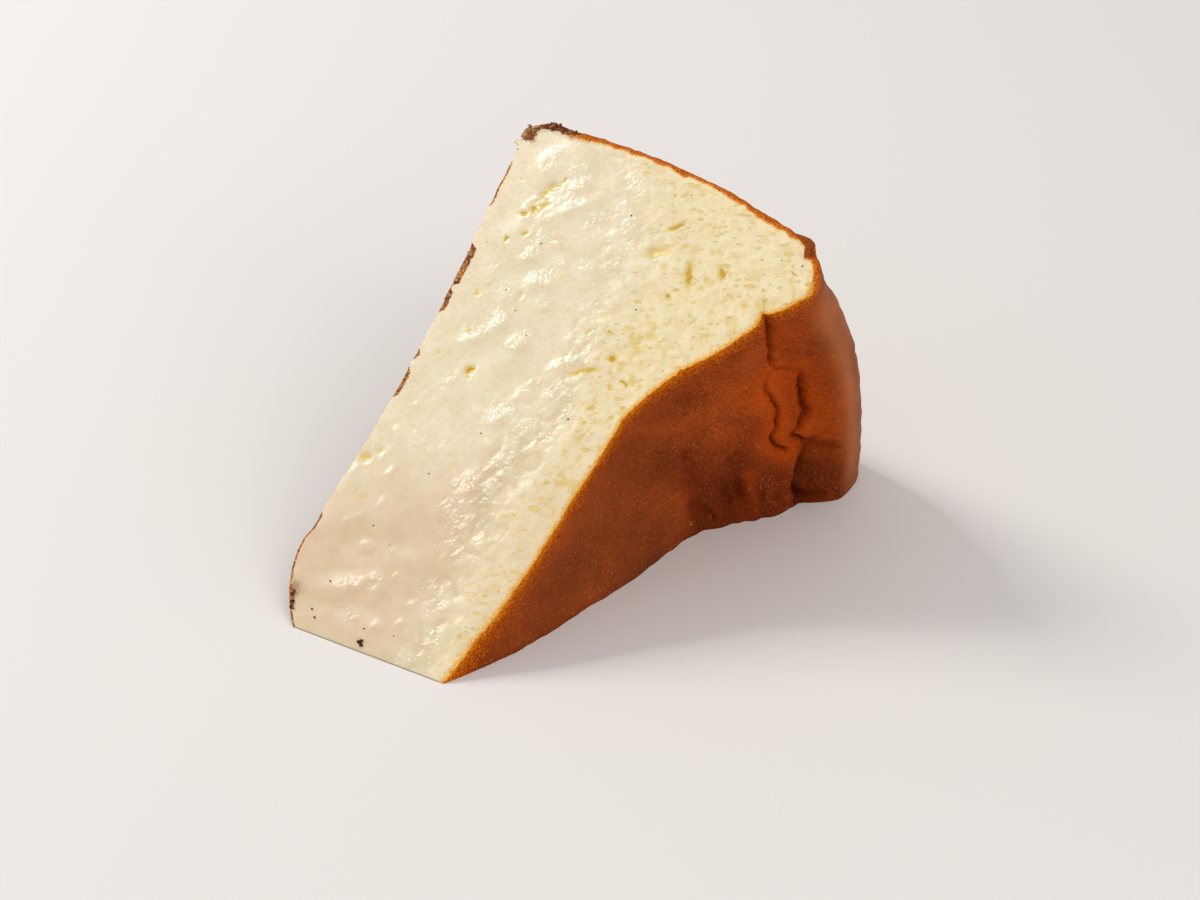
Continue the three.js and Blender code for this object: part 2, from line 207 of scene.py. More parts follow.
RIPPLE_GROUND = dict(noise=(2.2, 1.0, 239), fade=(0.05, 0.75), turn=RIPPLE_TURN, stretch=1.2)
RIPPLE_GROUND_SHARE = 0.55
RIPPLES = [(1.3, 0.12, 157), (0.95, 0.075, 163)]
CALM_BASE_FADE = (1.5, 8.0)
# Smooth wet bumps that catch the light: radius, height, half length, half width
WET_BUMPS = [
    (76.3, 13.6, 2.2, 1.5), (91.5, 15.3, 2.0, 1.4), (72.5, 16.4, 2.4, 1.3), (87.0, 15.8, 2.6, 1.2),
    (58.9, 10.6, 3.0, 1.2), (63.0, 14.5, 2.8, 1.3), (60.3, 19.4, 2.0, 1.4), (58.9, 28.3, 2.0, 1.2),
    (89.6, 18.7, 2.4, 1.2), (72.7, 19.2, 1.8, 1.1), (46.8, 22.8, 2.2, 1.2), (32.9, 24.1, 2.0, 1.2),
]
WET_BUMP_TURN, WET_BUMP_RISE, WET_BUMP_LENGTH = 50.0, 0.42, 0.75
# Lumps along the border of the set curd
CLOT_LUMPS, CLOT_WARP, CLOT_GRAIN = (2.2, 1.0, 181), (1.1, 0.35, 257), (0.9, 0.09, 173)
# The last value sets where the valleys between the clot lumps get painted shade
CLOT_RISE, CLOT_VALLEY_SHADE_FADE = 0.24, (0.4, 0.0)
CLOT_PATCHES, CLOT_RIPPLE = dict(noise=(4.5, 1.0, 251), fade=(-0.1, 0.7)), 0.5
# The curd stands as a ledge over the cream near the tip, with a lumpy border
LEDGE_RISE, LEDGE_FADE, LEDGE_RADII = 0.22, (0.1, 0.45), (56.0, 34.0)
LEDGE_LUMPS, LEDGE_LUMP_MIDDLE = 0.5, 0.35
# Other relief of the cut face: bands of the molten middle, lumps of the cream, crumb of the curd, broad waves
CREAM_TURN = 68.0
MOLTEN_BANDS, BAND_STRETCH = (4.2, 0.24, 151), 3.2
CREAM_LUMPS, LUMP_STRETCH = (4.2, 0.15, 149), 1.5
CURD_CRUMB = [(2.3, 0.12, 167), (1.0, 0.15, 173)]
BROAD_WAVE, BROAD_WAVE_FADE = (24.0, 0.3, 179), (0.0, 9.0)
RELIEF_EDGE_FADE, RELIEF_TIP_FADE = (0.0, 1.6), (1.0, 8.0)
EDGE_ROUND, EDGE_ROUND_REACH, EDGE_ROUND_FADE = 0.3, 0.55, (0.0, 8.0)

# Rind that the base left along the edge of the upper cut face: from radius, to radius, thickness
BASE_RIND = [
    (97.6, 102.0, 1.3), (83.5, 92.5, 0.4), (67.4, 75.4, 1.3), (62.0, 66.3, 1.0), (52.4, 53.8, 0.7),
    (44.5, 50.0, 0.8), (7.0, 20.5, 0.4), (3.0, 6.8, 0.95), (-0.5, 3.0, 0.45),
]
BASE_RIND_END = 0.6
# Browned rind along the side edge, thicker at the foot
SIDE_RIND, FOOT_RIND, FOOT_RIND_FADE = 1.0, 1.5, (15.0, 9.0)
NIBBLED_RIND = [(1.6, 0.3, 269), (0.7, 0.2, 271)]
SIDE_STEEPNESS = 2.3
SIDE_SKIN_FLOOR, BROWNED_SKIN = -0.7, -1.0
# A brown smudge near the worn tip: radius, height, half widths
STAIN, STAIN_SHARE = (6.2, 3.2, 1.7, 1.6), 0.85
# A brown lip of crust that hooks over the cut face at the rim: radius, height and half width along it
LIP = [(95.8, 56.4, 0.4), (94.8, 58.4, 0.8), (93.8, 60.0, 1.1), (92.6, 60.7, 0.9), (91.4, 61.0, 0.5)]
LIP_STAND, LIP_STAND_FADE = 0.7, (0.0, 0.4)
LIP_RAGGED, LIP_BORDER = (0.8, 0.3, 241), (1.15, 0.7)
LIP_BROWNING, LIP_TOAST = 2.6, 0.2
# Painted shade under the lip's hook at its end: strength, and the heights where it starts and is whole
LIP_END_PAINTED_SHADE, LIP_END_SHADE_FADE = 0.7, (60.9, 61.7)

# Shares of side colour and base colour, and darker browning
RIM_SIDE_SHARE, RIM_SIDE_REACH, RIM_SIDE_FADE = 0.55, 4.0, (0.8, 1.0)
CUT_SIDE_FADE, CUT_BASE_FADE, SIDE_BASE_FADE = (-1.5, 1.5), (13.0, 4.0), (7.0, 0.0)
EDGE_TOAST, EDGE_TOAST_FADE = 0.4, (0.5, 0.1)
BASE_TOAST, BASE_TOAST_WAVES = 0.5, [(8.0, 0.3, 193), (2.6, 0.25, 199)]
SIDE_TOAST, SIDE_TOAST_WAVES = 0.3, [(9.0, 0.25, 197), (2.4, 0.2, 201)]
LOW_TOAST, LOW_TOAST_FADE = 0.75, (0.6, 0.2)
LOW_TOAST_RADIUS, LOW_TOAST_WIDTH = 66.0, 7.0
# Painted contact shade along the top's foot where it meets the floor: strength, and width as a share of the
# way across
FOOT_CONTACT_SHADE, FOOT_CONTACT_SHADE_WIDTH = 0.5, 0.06
TIP_TOAST, TIP_TOAST_FADE = 0.4, (28.0, 4.0)
TOP_TOAST_WAVE = (10.0, 0.25, 191)
# Darker spots of the top: radius, half width, share of the way across, half width of that, strength. The
# first is painted shade on the lobe's inner flank by the lower fold, the second a toasted fleck
TOAST_AND_SHADE_SPOTS = [(82.5, 3.0, 0.14, 0.08, 0.8), (63.0, 2.6, 0.55, 0.09, 0.45)]
# Lighter orange crust along routes: half width and strength
RIDGE = [(70.9, -0.1), (70.2, 0.08), (70.0, 0.24)]
FOLD_ORANGE_WIDTH, UPPER_ORANGE_WIDTH, UPPER_ORANGE_SHARE = 4.5, 4.0, 0.8
BESIDE_ORANGE, BESIDE_ORANGE_FADE = 0.7, (72.0, 77.0)
FLAP_ORANGE_WIDTH, RIDGE_ORANGE_WIDTH, RIDGE_ORANGE = 3.5, 1.5, 0.7

# Burnt crumbs on the upper cut face: radius, height, size, tone from dark 0 to light 1
CRUMBS = [
    (1.6, 19.8, 0.66, 0.1), (1.3, 20.15, 0.48, 0.1), (1.95, 19.95, 0.44, 0.15), (1.5, 19.4, 0.4, 0.05),
    (4.1, 8.4, 0.22, 0.0), (2.9, 9.7, 0.24, 0.0), (9.7, 8.9, 0.2, 0.1),
]
# Clusters of crumbs: radius, height over the base edge, half widths, count, least and most size, tone
CRUMB_CLUSTERS = [
    (98.9, 0.5, 1.3, 0.9, 30, 0.3, 0.75, 0.68), (101.3, 4.6, 0.6, 1.6, 22, 0.25, 0.6, 0.36),
    (101.0, 8.2, 0.5, 2.2, 22, 0.2, 0.5, 0.4), (71.5, 0.5, 3.6, 0.4, 12, 0.25, 0.5, 0.8),
    (64.2, 0.5, 1.9, 0.3, 6, 0.2, 0.4, 0.75), (4.6, 0.7, 1.6, 0.5, 7, 0.2, 0.4, 0.3),
]
CRUMB_SEED = 307
CRUMB_STAND, CRUMB_CORNERS = 0.15, 11
CRUMB_TONE_RANGE, CRUMB_CORNER_RANGE = (-0.25, 0.25), (0.65, 1.15)

# Colours of the inside, the browning and the crusts
CURD_PALE, CURD_DEEP = "#f3e4bc", "#ecd8a8"
CREAM_PALE, CREAM_DEEP = "#ebdec1", "#e4d4b1"
MOLTEN_PALE, MOLTEN_DEEP = "#e0caab", "#d8bf9b"
PORE_SHALLOW, PORE_DEEP = "#e6cc7c", "#d0a014"
# The clot colour is painted shade for the valleys between the clots
# The contact colour is a painted contact shadow along the tip line, where the slice meets the floor
CLOT_VALLEY_PAINTED_SHADE, STAIN_BROWN, CONTACT_SHADOW = "#cdb78c", "#7a5638", "#a08468"
VANILLA, ORANGE_BIT = "#3a3325", "#dca83c"
GOLD, ORANGE, ORANGE_DEEP = "#efb23a", "#d06a02", "#b24c06"
EDGE_GRIT, EDGE_SPARK = "#7a2c04", "#e68612"
CRUST, CRUST_LIGHT, CRUST_DARK = "#8c390c", "#b04c14", "#642406"
# The crust speck colour is partly light grain of the crust and partly painted glints on its small bumps
CRUST_SPECK_AND_GLINT, CRUST_DULL, CRUST_ORANGE = "#c88050", "#8a4420", "#c04a04"
# The crack colour is painted shade along the bottom of the cracks, in the wrinkles' grooves and under the
# lip's hook
# The toast colour is darker browning, and also painted shade on the lobe's flank and along the top's foot on
# the floor
TOAST_AND_SHADE_BROWN, PAINTED_SHADE_BROWN = "#571d04", "#561203"
SIDE_BROWN, SIDE_DARK = "#a8520c", "#6e2e08"
# The flank colours are the side's brown made lighter and pinker as painted sheen on the rim's grazing flank
FLANK_BROWN_AND_SHEEN, FLANK_DARK_AND_SHEEN = "#cc8050", "#96522a"
BASE_BROWN, BASE_DARK, BASE_TAN = "#8e4a12", "#4c1c04", "#c88e40"
CRUST_RAMP = [(0.38, CRUST_DARK), (0.50, CRUST), (0.62, CRUST_LIGHT)]
RIND_RAMP = [(0.0, BASE_DARK), (0.5, BASE_BROWN), (1.0, BASE_TAN)]
CRUMB_RAMP = [(0.0, "#2c1206"), (0.5, "#8a4820"), (1.0, "#d0a478")]

# Noise of the materials: scale for each millimetre, detail and roughness
CRUST_GRAIN, CRUST_PATCH, CRUST_BUMPS = (2.1, 2.0, 0.7), (0.10, 3.0, 0.5), (1.7, 4.0, 0.7)
EDGE_FRAY, DASH_FRAY = (2.4, 4.0, 0.85), (3.0, 2.0, 0.5)
CURD_GLOSS, CRUST_GLOSS = (0.35, 2.0, 0.5), (0.3, 2.0, 0.5)
FINE_CRUMB, FINE_WAVES, BEADS = (1.5, 4.0, 0.65), (1.2, 1.0, 0.45), (1.3, 1.0, 0.5)
BURNT_SPECKLE = (1.4 / MM, 3.0, 0.7)
# Spots of the materials: the same, and the noise values that give 0 and 1
CURD_MOTTLE, CREAM_MOTTLE = (0.5, 3.0, 0.6, 0.34, 0.62), (0.22, 4.0, 0.6, 0.3, 0.7)
STAIN_MOTTLE, RIND_GRAIN = (1.2, 4.0, 0.7, 0.3, 0.6), (1.6, 4.0, 0.75, 0.36, 0.64)
# The first two place the crust's light specks, which are partly painted glints
CRUST_SPECK_AND_GLINT_SPOTS, SPECK_AND_GLINT_PATCHES = (2.2, 1.0, 0.5, 0.60, 0.74), (0.22, 3.0, 0.6, 0.42, 0.62)
DARK_GRIT, LIGHT_GRIT = (2.8, 2.0, 0.6, 0.53, 0.64), (2.8, 2.0, 0.6, 0.45, 0.34)
GLOSS_SPOTS, BEAD_PATCHES = (1.1, 3.0, 0.6, 0.46, 0.58), (0.22, 2.0, 0.5, 0.45, 0.62)
# Dashes of the curd: scale, turn, greatest size
DASHES = [(0.6, 78.0, 0.58), (0.9, 50.0, 0.52)]
DASH_STRETCH, DASH_LEAST = 2.2, 0.3
DASH_FRAY_DEPTH, DASH_BORDER = 0.2, (0.02, -0.05)
DASH_CURD_FADE, DASH_TINT, DASH_DIP = (0.0, 0.8), 0.9, 0.35
# Cells that hold an orange bit or a vanilla speck: scale, and the distances that give 0 and 1
BIT_CELLS, BIT_BORDER, BIT_TINT = 0.28, (0.13, 0.05), 0.7
SPECK_CELLS, SPECK_BORDER = 0.26, (0.06, 0.04)
# Share of the painted shade in the valleys between the clots
CLOT_VALLEY_SHADE_TINT = 0.5
SHALLOW_FADE, DEEP_FADE = (0.0, 0.6), (0.5, 0.9)
# Radii over which the painted contact shadow along the tip line fades in
CONTACT_SHADOW_FADE = (0.35, 0.05)
# Browned crust by radius, by distance from the upper cut face and by browning
DULL_FADE, DULL_SHARE = (72.0, 45.0), 0.45
NEAR_CUT_FADE, NEAR_CUT_RADII, NEAR_CUT_TINT = (-9.0, -1.5), (70.0, 62.0), 0.4
# The last two are the shares of the darker browning, which also holds painted shade, and of the painted shade
# in cracks
ORANGE_TINT, TOAST_AND_SHADE_TINT, PAINTED_SHADE_TINT = 0.75, 0.75, 0.75
# Least and most share of the crust's light specks with their painted glints
SPECK_AND_GLINT_TINTS = (0.12, 0.40)
GRAIN_FADE, GRAIN_BROWNING = (0.3, 0.7), 0.45
SIDE_BROWNING, BASE_BROWNING = (-0.1, 1.1), (-0.1, 1.2)
# Distance under the skin where the side's own brown gives way to the flank colours with painted sheen
FLANK_AND_SHEEN_FADE = (-1.5, -9.0)
# The browned edge by its frayed depth under the skin: where each tone starts and is whole
EDGE_TONES = [(GOLD, (0.95, 0.2)), (ORANGE, (0.2, -0.3)), (ORANGE_DEEP, (-0.4, -1.3))]
CRUST_FADE, BASE_CRUST_FADE = (-0.9, -3.2), (0.2, -0.4)
GRIT_FADE, GRIT_END_FADE = (0.3, -0.3), (-4.2, -1.8)
DARK_GRIT_TINT, LIGHT_GRIT_TINT = 0.75, 0.6
EDGE_FRAY_DEPTH, RIND_FRAY = 3.0, 0.4
NARROW_EDGE_FADE, NARROW_EDGE = (34.0, 6.0), 0.7
RIND_FADE = (-0.12, 0.16)
# Gloss and fine relief, with bump heights in metres
WET_FADE, PALE_FADE = (0.3, 1.5), (0.0, 1.0)
CURD_ROUGHNESS, CREAM_ROUGHNESS, MOLTEN_ROUGHNESS = (0.5, 0.66), (0.33, 0.17), 0.32
BROWNED_FADE, BROWNED_RIND_FADE, BROWNED_ROUGHNESS = (0.6, -0.2), (-0.3, 0.1), 0.9
CRUST_ROUGHNESS, CRUST_SPECULAR, CRUST_TINT = (0.48, 0.66), 0.07, (1.0, 0.78, 0.66, 1.0)
STREAK_SHARE, BEAD_SHARE = 0.75, 0.8
INSIDE_BUMP_M, CRUST_BUMP_M = 0.00032, 0.0005
SCATTER_SHARE, SCATTER_COLOURS, SCATTER_M = 0.35, (1.0, 0.6, 0.3), 0.002
INSIDE_SPECULAR = 0.5
CRUMB_ROUGHNESS, CRUMB_SPECULAR, CRUMB_SPECKLING = 0.75, 0.2, 0.8

# The camera of the photograph, from the tip's upper corner, in the frame's axes. The field of view comes from
# half the photograph's width and from the focal length, both in its pixels.
CAMERA_FROM_TIP = Vector((-411.7, -299.7, 350.2)) * MM
VIEW_DIRECTION = Vector((0.7175, 0.4689, -0.5150))
VIEW_RIGHT = Vector((0.5470, -0.8371, 0.0))
HALF_WIDTH_PX, FOCAL_LENGTH_PX = 600.0, 3771.0
FIELD_OF_VIEW = 2.0 * math.atan(HALF_WIDTH_PX / FOCAL_LENGTH_PX)
CLIP_START_M = 0.01

# Studio, in metres
WORLD_STRENGTH, WORLD_COLOUR = 0.53, (1.0, 0.985, 0.97, 1.0)
WARM_WHITE, COOL_WHITE = (1.0, 0.98, 0.96), (0.95, 0.98, 1.0)
FLOOR_COLOUR, FLOOR_ROUGHNESS, FLOOR_HALF_M = (0.80, 0.768, 0.745, 1.0), 0.6, 3.0
LIGHT_TARGET = Vector((0.0, 0.0, 0.03))
# Name, shares to the camera's right, away from it and up, distance, size, watts, colour
LIGHTS = [
    ("key", -0.70, 0.50, 0.70, 0.9, 0.35, 3.7, WARM_WHITE),
    ("glint", -0.47, 0.44, 0.76, 0.85, 0.06, 0.6, COOL_WHITE),
    ("fill", 0.45, -0.90, 0.55, 1.0, 0.9, 4.3, WARM_WHITE),
]

# Turned layers of an unevenness: count, degrees of the first and between two, then the shift and growth from
# each to the next and what the depth is divided by
LAYERS, FIRST_TURN, NEXT_TURN = 3, 37.0, 61.0
LAYER_SHIFT, LAYER_GROWTH, LAYER_DIVIDER = 13.7, 0.23, 1.7
# Mesh cells along the radius, up the height and across the angle
CELLS_ALONG, CELLS_UP, CELLS_ACROSS = 240, 150, 150
SIDE_STRIDE, BASE_STRIDE = 2, 6
COARSE_SHARE_OF_CELLS, COARSE_SHARE_OF_LENGTH = 0.56, 0.72
BORDER_STEP = 1e-3
FAR_AWAY = 1e9
SHARP_ANGLE = math.radians(66.0)
INSIDE_SLOT, CRUST_SLOT = 0, 1
CUT_NORMAL = np.array([-math.sin(SLICE_ANGLE), 0.0, math.cos(SLICE_ANGLE)])
VALUE_NAMES = ["skin", "rind", "base_kind", "side_kind", "curd", "yellow", "molten", "ripple", "hollow",
               "clots", "valley", "stain", "crack", "toast", "orange", "cake_r", "cake_h", "cake_arc"]


def smooth(x, low, high):
    t = np.clip((x - low) / (high - low), 0.0, 1.0)
    return t * t * (3.0 - 2.0 * t)


def bell(x):
    return np.exp(-x * x)


def corner_value(ix, iy, seed):
    """A repeatable value from -1 to 1 for each corner of a unit grid."""
    n = ix.astype(np.int64) * 374761393 ^ iy.astype(np.int64) * 668265263 ^ seed * 1274126177
    n = n & 0xFFFFFFFF
    n = ((n ^ (n >> 13)) * 1274126177) & 0xFFFFFFFF
    n = n ^ (n >> 16)
    return n / 0xFFFFFFFF * 2.0 - 1.0


def uneven(a, b, size, depth, seed):
    """Smooth unevenness over two surface lengths, from -depth to depth."""
    x, y = a / size, b / size
    ix, iy = np.floor(x), np.floor(y)
    fx, fy = smooth(x - ix, 0.0, 1.0), smooth(y - iy, 0.0, 1.0)
    near = corner_value(ix, iy, seed) * (1 - fx) + corner_value(ix + 1, iy, seed) * fx
    far = corner_value(ix, iy + 1, seed) * (1 - fx) + corner_value(ix + 1, iy + 1, seed) * fx
    return depth * (near * (1 - fy) + far * fy)


def turned(a, b, degrees):
    c, s = math.cos(math.radians(degrees)), math.sin(math.radians(degrees))
    return c * a - s * b, s * a + c * b


def billow(a, b, size, depth, seed):
    """Unevenness with no grid showing: a few turned layers."""
    total = 0.0
    for n in range(LAYERS):
        x, y = turned(a, b, FIRST_TURN + NEXT_TURN * n)
        growth = 1.0 + LAYER_GROWTH * n
        total = total + uneven(x + LAYER_SHIFT * n, y, size * growth, depth / LAYER_DIVIDER, seed + n)
    return total


def billows(a, b, rows):
    return sum(billow(a, b, *row) for row in rows)


def patches(a, b, noise, fade, turn=0.0, stretch=1.0):
    """Patches of an unevenness that is turned and stretched, from 0 to 1."""
    along, cross = turned(a, b, -turn)
    return smooth(billow(along / stretch, cross, *noise), *fade)


def oval(radius, height, r, h, long, wide, turn=0.0):
    """Distance from the middle of an oval, 1 on its border."""
    along, cross = turned(radius - r, height - h, -turn)
    return np.hypot(along / long, cross / wide)


def profile(name, across):
    return UPPER[name] + (LOWER[name] - UPPER[name]) * (1.0 - across) ** BLEND_POWER


def arc_length(radius, across):
    return radius * across * SLICE_ANGLE


def top_height(radius, across):
    dish = profile("dish", across) * (1.0 - np.exp(-radius / profile("dish_reach", across)))
    climb = smooth(radius, profile("rise_start", across), profile("rise_end", across))
    turn = smooth(radius, profile("roll_start", across), profile("roll_end", across))
    return TIP_TOP + dish + profile("rise", across) * climb + profile("roll", across) * turn


def from_line(a, b, start, end):
    """Share of a straight line at the point nearest to each place, and the way from that point."""
    da, db = end[0] - start[0], end[1] - start[1]
    t = np.clip(((a - start[0]) * da + (b - start[1]) * db) / (da * da + db * db), 0.0, 1.0)
    return t, a - start[0] - t * da, b - start[1] - t * db


def route_distance(radius, across, route):
    """Distance over the surface to a route, the share of the route at the nearest point, and the way out."""
    points = [(r, arc_length(r, w)) for r, w in route]
    nearest = np.full_like(radius, FAR_AWAY)
    share = np.zeros_like(radius)
    outward = np.zeros_like(radius)
    for i, (start, end) in enumerate(zip(points, points[1:])):
        t, out, cross = from_line(radius, arc_length(radius, across), start, end)
        d = np.hypot(out, cross)
        closer = d < nearest
        nearest = np.where(closer, d, nearest)
        share = np.where(closer, (i + t) / (len(points) - 1), share)
        outward = np.where(closer, out, outward)
    return nearest, share, outward


def crack_depth(radius, across):
    """Depth of the cracks, and how near the surface is to their bottom from 0 to 1, the share of painted
    shade there.
    """
    wobbled = radius + billows(radius, arc_length(radius, across), CRACK_WOBBLE)
    depth = np.zeros_like(radius)
    bottom = np.zeros_like(radius)
    for route, inner, outer, line_width, deep, first, fade, last in CRACKS:
        d, share, outward = route_distance(wobbled, across, route)
        ends = first + (1.0 - first) * smooth(share, 0.0, fade)
        ends = ends * (1.0 - (1.0 - last) * smooth(share, *CRACK_LAST_FADE))
        line = bell(d / line_width)
        wide = bell(d / (inner + (outer - inner) * smooth(outward, *CRACK_FLANK_FADE)))
        shape = CRACK_WIDE_SHARE * wide + (1.0 - CRACK_WIDE_SHARE) * line
        depth = np.maximum(depth, deep * ends * shape)
        bottom = np.maximum(bottom, ends * line * min(1.0, deep))
    return depth, bottom


def wrinkle_depth(radius, across):
    wobbled = radius + billow(radius, arc_length(radius, across), *WRINKLE_WOBBLE)
    depth = np.zeros_like(radius)
    for route, width, deep in WRINKLES:
        d, share, _ = route_distance(wobbled, across, route)
        depth = depth + deep * smooth(share, *WRINKLE_LAST_FADE) * bell(d / width)
    return depth * (WRINKLE_END_SHARE + (1.0 - WRINKLE_END_SHARE) * smooth(across, *WRINKLE_END_FADE))


def rim_swell(across):
    return sum(depth * bell((across - middle) / width) for middle, width, depth in RIM_SWELLS)


def top_relief(radius, across):
    arc = arc_length(radius, across)
    skin = uneven(radius, arc, *WAVE) + billows(radius, arc, [CRUST_ROUGH, SKIN_GRAIN])
    rounding = EDGE_ROUND * bell(arc_length(radius, 1.0 - across) / EDGE_ROUND_REACH)
    crest = profile("crest", across)
    swell = rim_swell(across) * smooth(radius, crest - RIM_SWELL_REACH, crest)
    grooves = crack_depth(radius, across)[0] + wrinkle_depth(radius, across)
    return smooth(radius, *TIP_FADE) * (skin - rounding) + swell - grooves


def side_relief(height, across):
    arc = arc_length(CAKE_RADIUS, across)
    spacing = arc_length(CAKE_RADIUS, 1.0) / CREASE_COUNT
    creases = 0.0
    for i in range(CREASE_COUNT):
        slant = CREASE_SLANT * (height if i % 2 else -height)
        creases = creases + CREASE_DEPTH * bell((arc - (i + 0.5) * spacing - slant) / CREASE_WIDTH)
    foot = bell(height / RAGGED_FOOT_REACH) * uneven(height, arc, *RAGGED_FOOT)
    rim = smooth(height, top_height(profile("crest", across), across), TIP_TOP)
    skin = billows(height, arc, [CRUST_ROUGH, SKIN_GRAIN])
    swell = rim_swell(across) * smooth(height, *RIM_SWELL_FADE)
    knobs = sum(depth * bell((height - at) / half_width) for at, half_width, depth in RIM_KNOBS)
    ragged = smooth(across, *RAGGED_SIDE_FADE) * (billow(height, arc, *RAGGED_SIDE) + knobs)
    return skin + swell + ragged + foot - rim * creases


def base_relief(radius, across):
    arc = arc_length(radius, across)
    foot = bell((CAKE_RADIUS - radius) / RAGGED_FOOT_REACH) * uneven(radius, arc, *RAGGED_FOOT)
    ragged = smooth(across, *RAGGED_BASE_FADE) * billow(radius, arc, *RAGGED_BASE)
    spur = SPUR_LENGTH * bell((radius - SPUR_RADIUS) / SPUR_HALF_WIDTH) * smooth(across, *SPUR_FADE)
    skin = smooth(radius, *TIP_FADE) * (billow(radius, arc, *CRUST_ROUGH) + ragged)
    return skin + foot + spur


def smooth_top(along, across):
    radius = along * profile("crest", across)
    return radius, top_height(radius, across)


def smooth_side(up, across):
    crest = profile("crest", across)
    crest_height = top_height(crest, across)
    height = up * crest_height
    taper = profile("taper", across)
    in_rim = np.clip((height - crest_height) / RIM_ROUND + 1.0, 0.0, 1.0)
    rim = (CAKE_RADIUS - taper - crest) * (1.0 - np.sqrt(1.0 - in_rim * in_rim))
    in_foot = np.clip(1.0 - height / FOOT_ROUND, 0.0, 1.0)
    radius = CAKE_RADIUS - taper * up ** SIDE_TAPER_POWER - rim - FOOT_INSET * in_foot * in_foot
    return radius, height


def smooth_base(along, across):
    radius = along * smooth_side(np.zeros_like(along), across)[0]
    wear = TIP_BASE * np.clip(1.0 - radius / TIP_WEAR_REACH, 0.0, 1.0) ** TIP_WEAR_POWER
    return radius, wear + BASE_HOLLOW * np.sin(np.pi * along) ** 2


def tip_line(up):
    return np.zeros_like(up), TIP_BASE + (TIP_TOP - TIP_BASE) * up


def pushed_out(border, relief, axis, turn, share, across):
    """A smooth border moved along its own normal by a relief over its radius, axis 0, or its height, axis 1.

    turn is 1 where the food lies on the right of the border's run, and otherwise -1.
    """
    r0, h0 = border(np.maximum(share - BORDER_STEP, 0.0), across)
    r1, h1 = border(np.minimum(share + BORDER_STEP, 1.0), across)
    place = border(share, across)
    amount = turn * relief(place[axis], across) / np.hypot(r1 - r0, h1 - h0)
    return place[0] - amount * (h1 - h0), place[1] + amount * (r1 - r0)


def top_border(along, across):
    return pushed_out(smooth_top, top_relief, 0, 1.0, along, across)


def base_border(along, across):
    return pushed_out(smooth_base, base_relief, 0, -1.0, along, across)


def side_border(up, across):
    """The side, drawn to the uneven base and top at its two ends."""
    zero, one = np.zeros_like(up), np.ones_like(up)
    side, foot, crest = (pushed_out(smooth_side, side_relief, 1, -1.0, at, across) for at in (up, zero, one))
    low, high = base_border(one, across), top_border(one, across)
    crest_height = smooth_side(one, across)[1]
    low_share = smooth(up, FOOT_ROUND / crest_height, 0.0)
    high_share = smooth(up, 1.0 - RIM_ROUND / crest_height, one)
    return tuple(side[k] + low_share * (low[k] - foot[k]) + high_share * (high[k] - crest[k]) for k in (0, 1))


def section_points(along, up, across):
    """Points of the section blended from its four borders."""
    zero, one = np.zeros_like(along), np.ones_like(along)
    base, top = base_border(along, across), top_border(along, across)
    tip, side = tip_line(up), side_border(up, across)
    low_tip, high_tip = tip_line(zero), tip_line(one)
    foot, crest = base_border(one, across), top_border(one, across)
    return tuple(
        (1 - up) * base[k] + up * top[k] + (1 - along) * tip[k] + along * side[k]
        - (1 - along) * (1 - up) * low_tip[k] - (1 - along) * up * high_tip[k]
        - along * (1 - up) * foot[k] - along * up * crest[k]
        for k in (0, 1))


def border_distance(radius, height, border_radius, border_height):
    """Distance from each point of the cut face to a border given as a row of points."""
    nearest = np.full_like(radius, FAR_AWAY)
    for r, h in zip(border_radius, border_height):
        nearest = np.minimum(nearest, (radius - r) ** 2 + (height - h) ** 2)
    return np.sqrt(nearest)


def zones(radius, height):
    """Shares from 0 to 1 of set curd, of its yellow tone, of clots along its border and of molten cream."""
    wobble = billow(radius, height, *ZONE_WOBBLE)
    fine = billow(radius, height, *ZONE_FRAY)
    rim_drop = CURD_RIM_DROP * np.maximum(radius - CURD_RIM_START, 0.0) ** 2
    tip_rise = TIP_CURD_RISE * smooth(radius, *TIP_CURD_FADE)
    level = height - CURD_LEVEL + rim_drop + wobble - tip_rise
    curd = smooth(level + fine, *CURD_FADE)
    tip_drop = TIP_CLOT_DROP * smooth(radius, *TIP_CLOT_FADE)
    clots = bell((level + CLOT_DROP + tip_drop) / CLOT_BAND)
    clots = clots * (1.0 - CLOT_LOSS * smooth(radius, *CLOT_LOSS_FADE))
    yellow = smooth(level, *YELLOW_FADE) * (1.0 - YELLOW_CLOT_LOSS * clots)
    molten = smooth(turned(radius, height, -MOLTEN_TURN)[0] + wobble, *MOLTEN_FADE)
    molten = molten * (1.0 - MOLTEN_LOSS * smooth(height + fine, *MOLTEN_LOSS_FADE))
    return curd, yellow, clots, molten


def pore_rows(radius, height, curd):
    """The listed pores, then small seeded ones, most of them in the curd."""
    rng = np.random.default_rng(SMALL_PORE_SEED)
    rows = list(PORES)
    least = SMALL_PORE_SHARE_IN_CREAM
    while len(rows) < len(PORES) + SMALL_PORE_COUNT:
        r, h, size, stretch, turn = [rng.uniform(*span) for span in SMALL_PORE_RANGES]
        keep = rng.uniform()
        row, column = np.unravel_index(np.argmin((radius - r) ** 2 + (height - h) ** 2), radius.shape)
        if keep < least + (1.0 - least) * curd[row, column]:
            rows.append((r, h, size * stretch, size / stretch, turn, SMALL_PORE_TINT))
    return rows


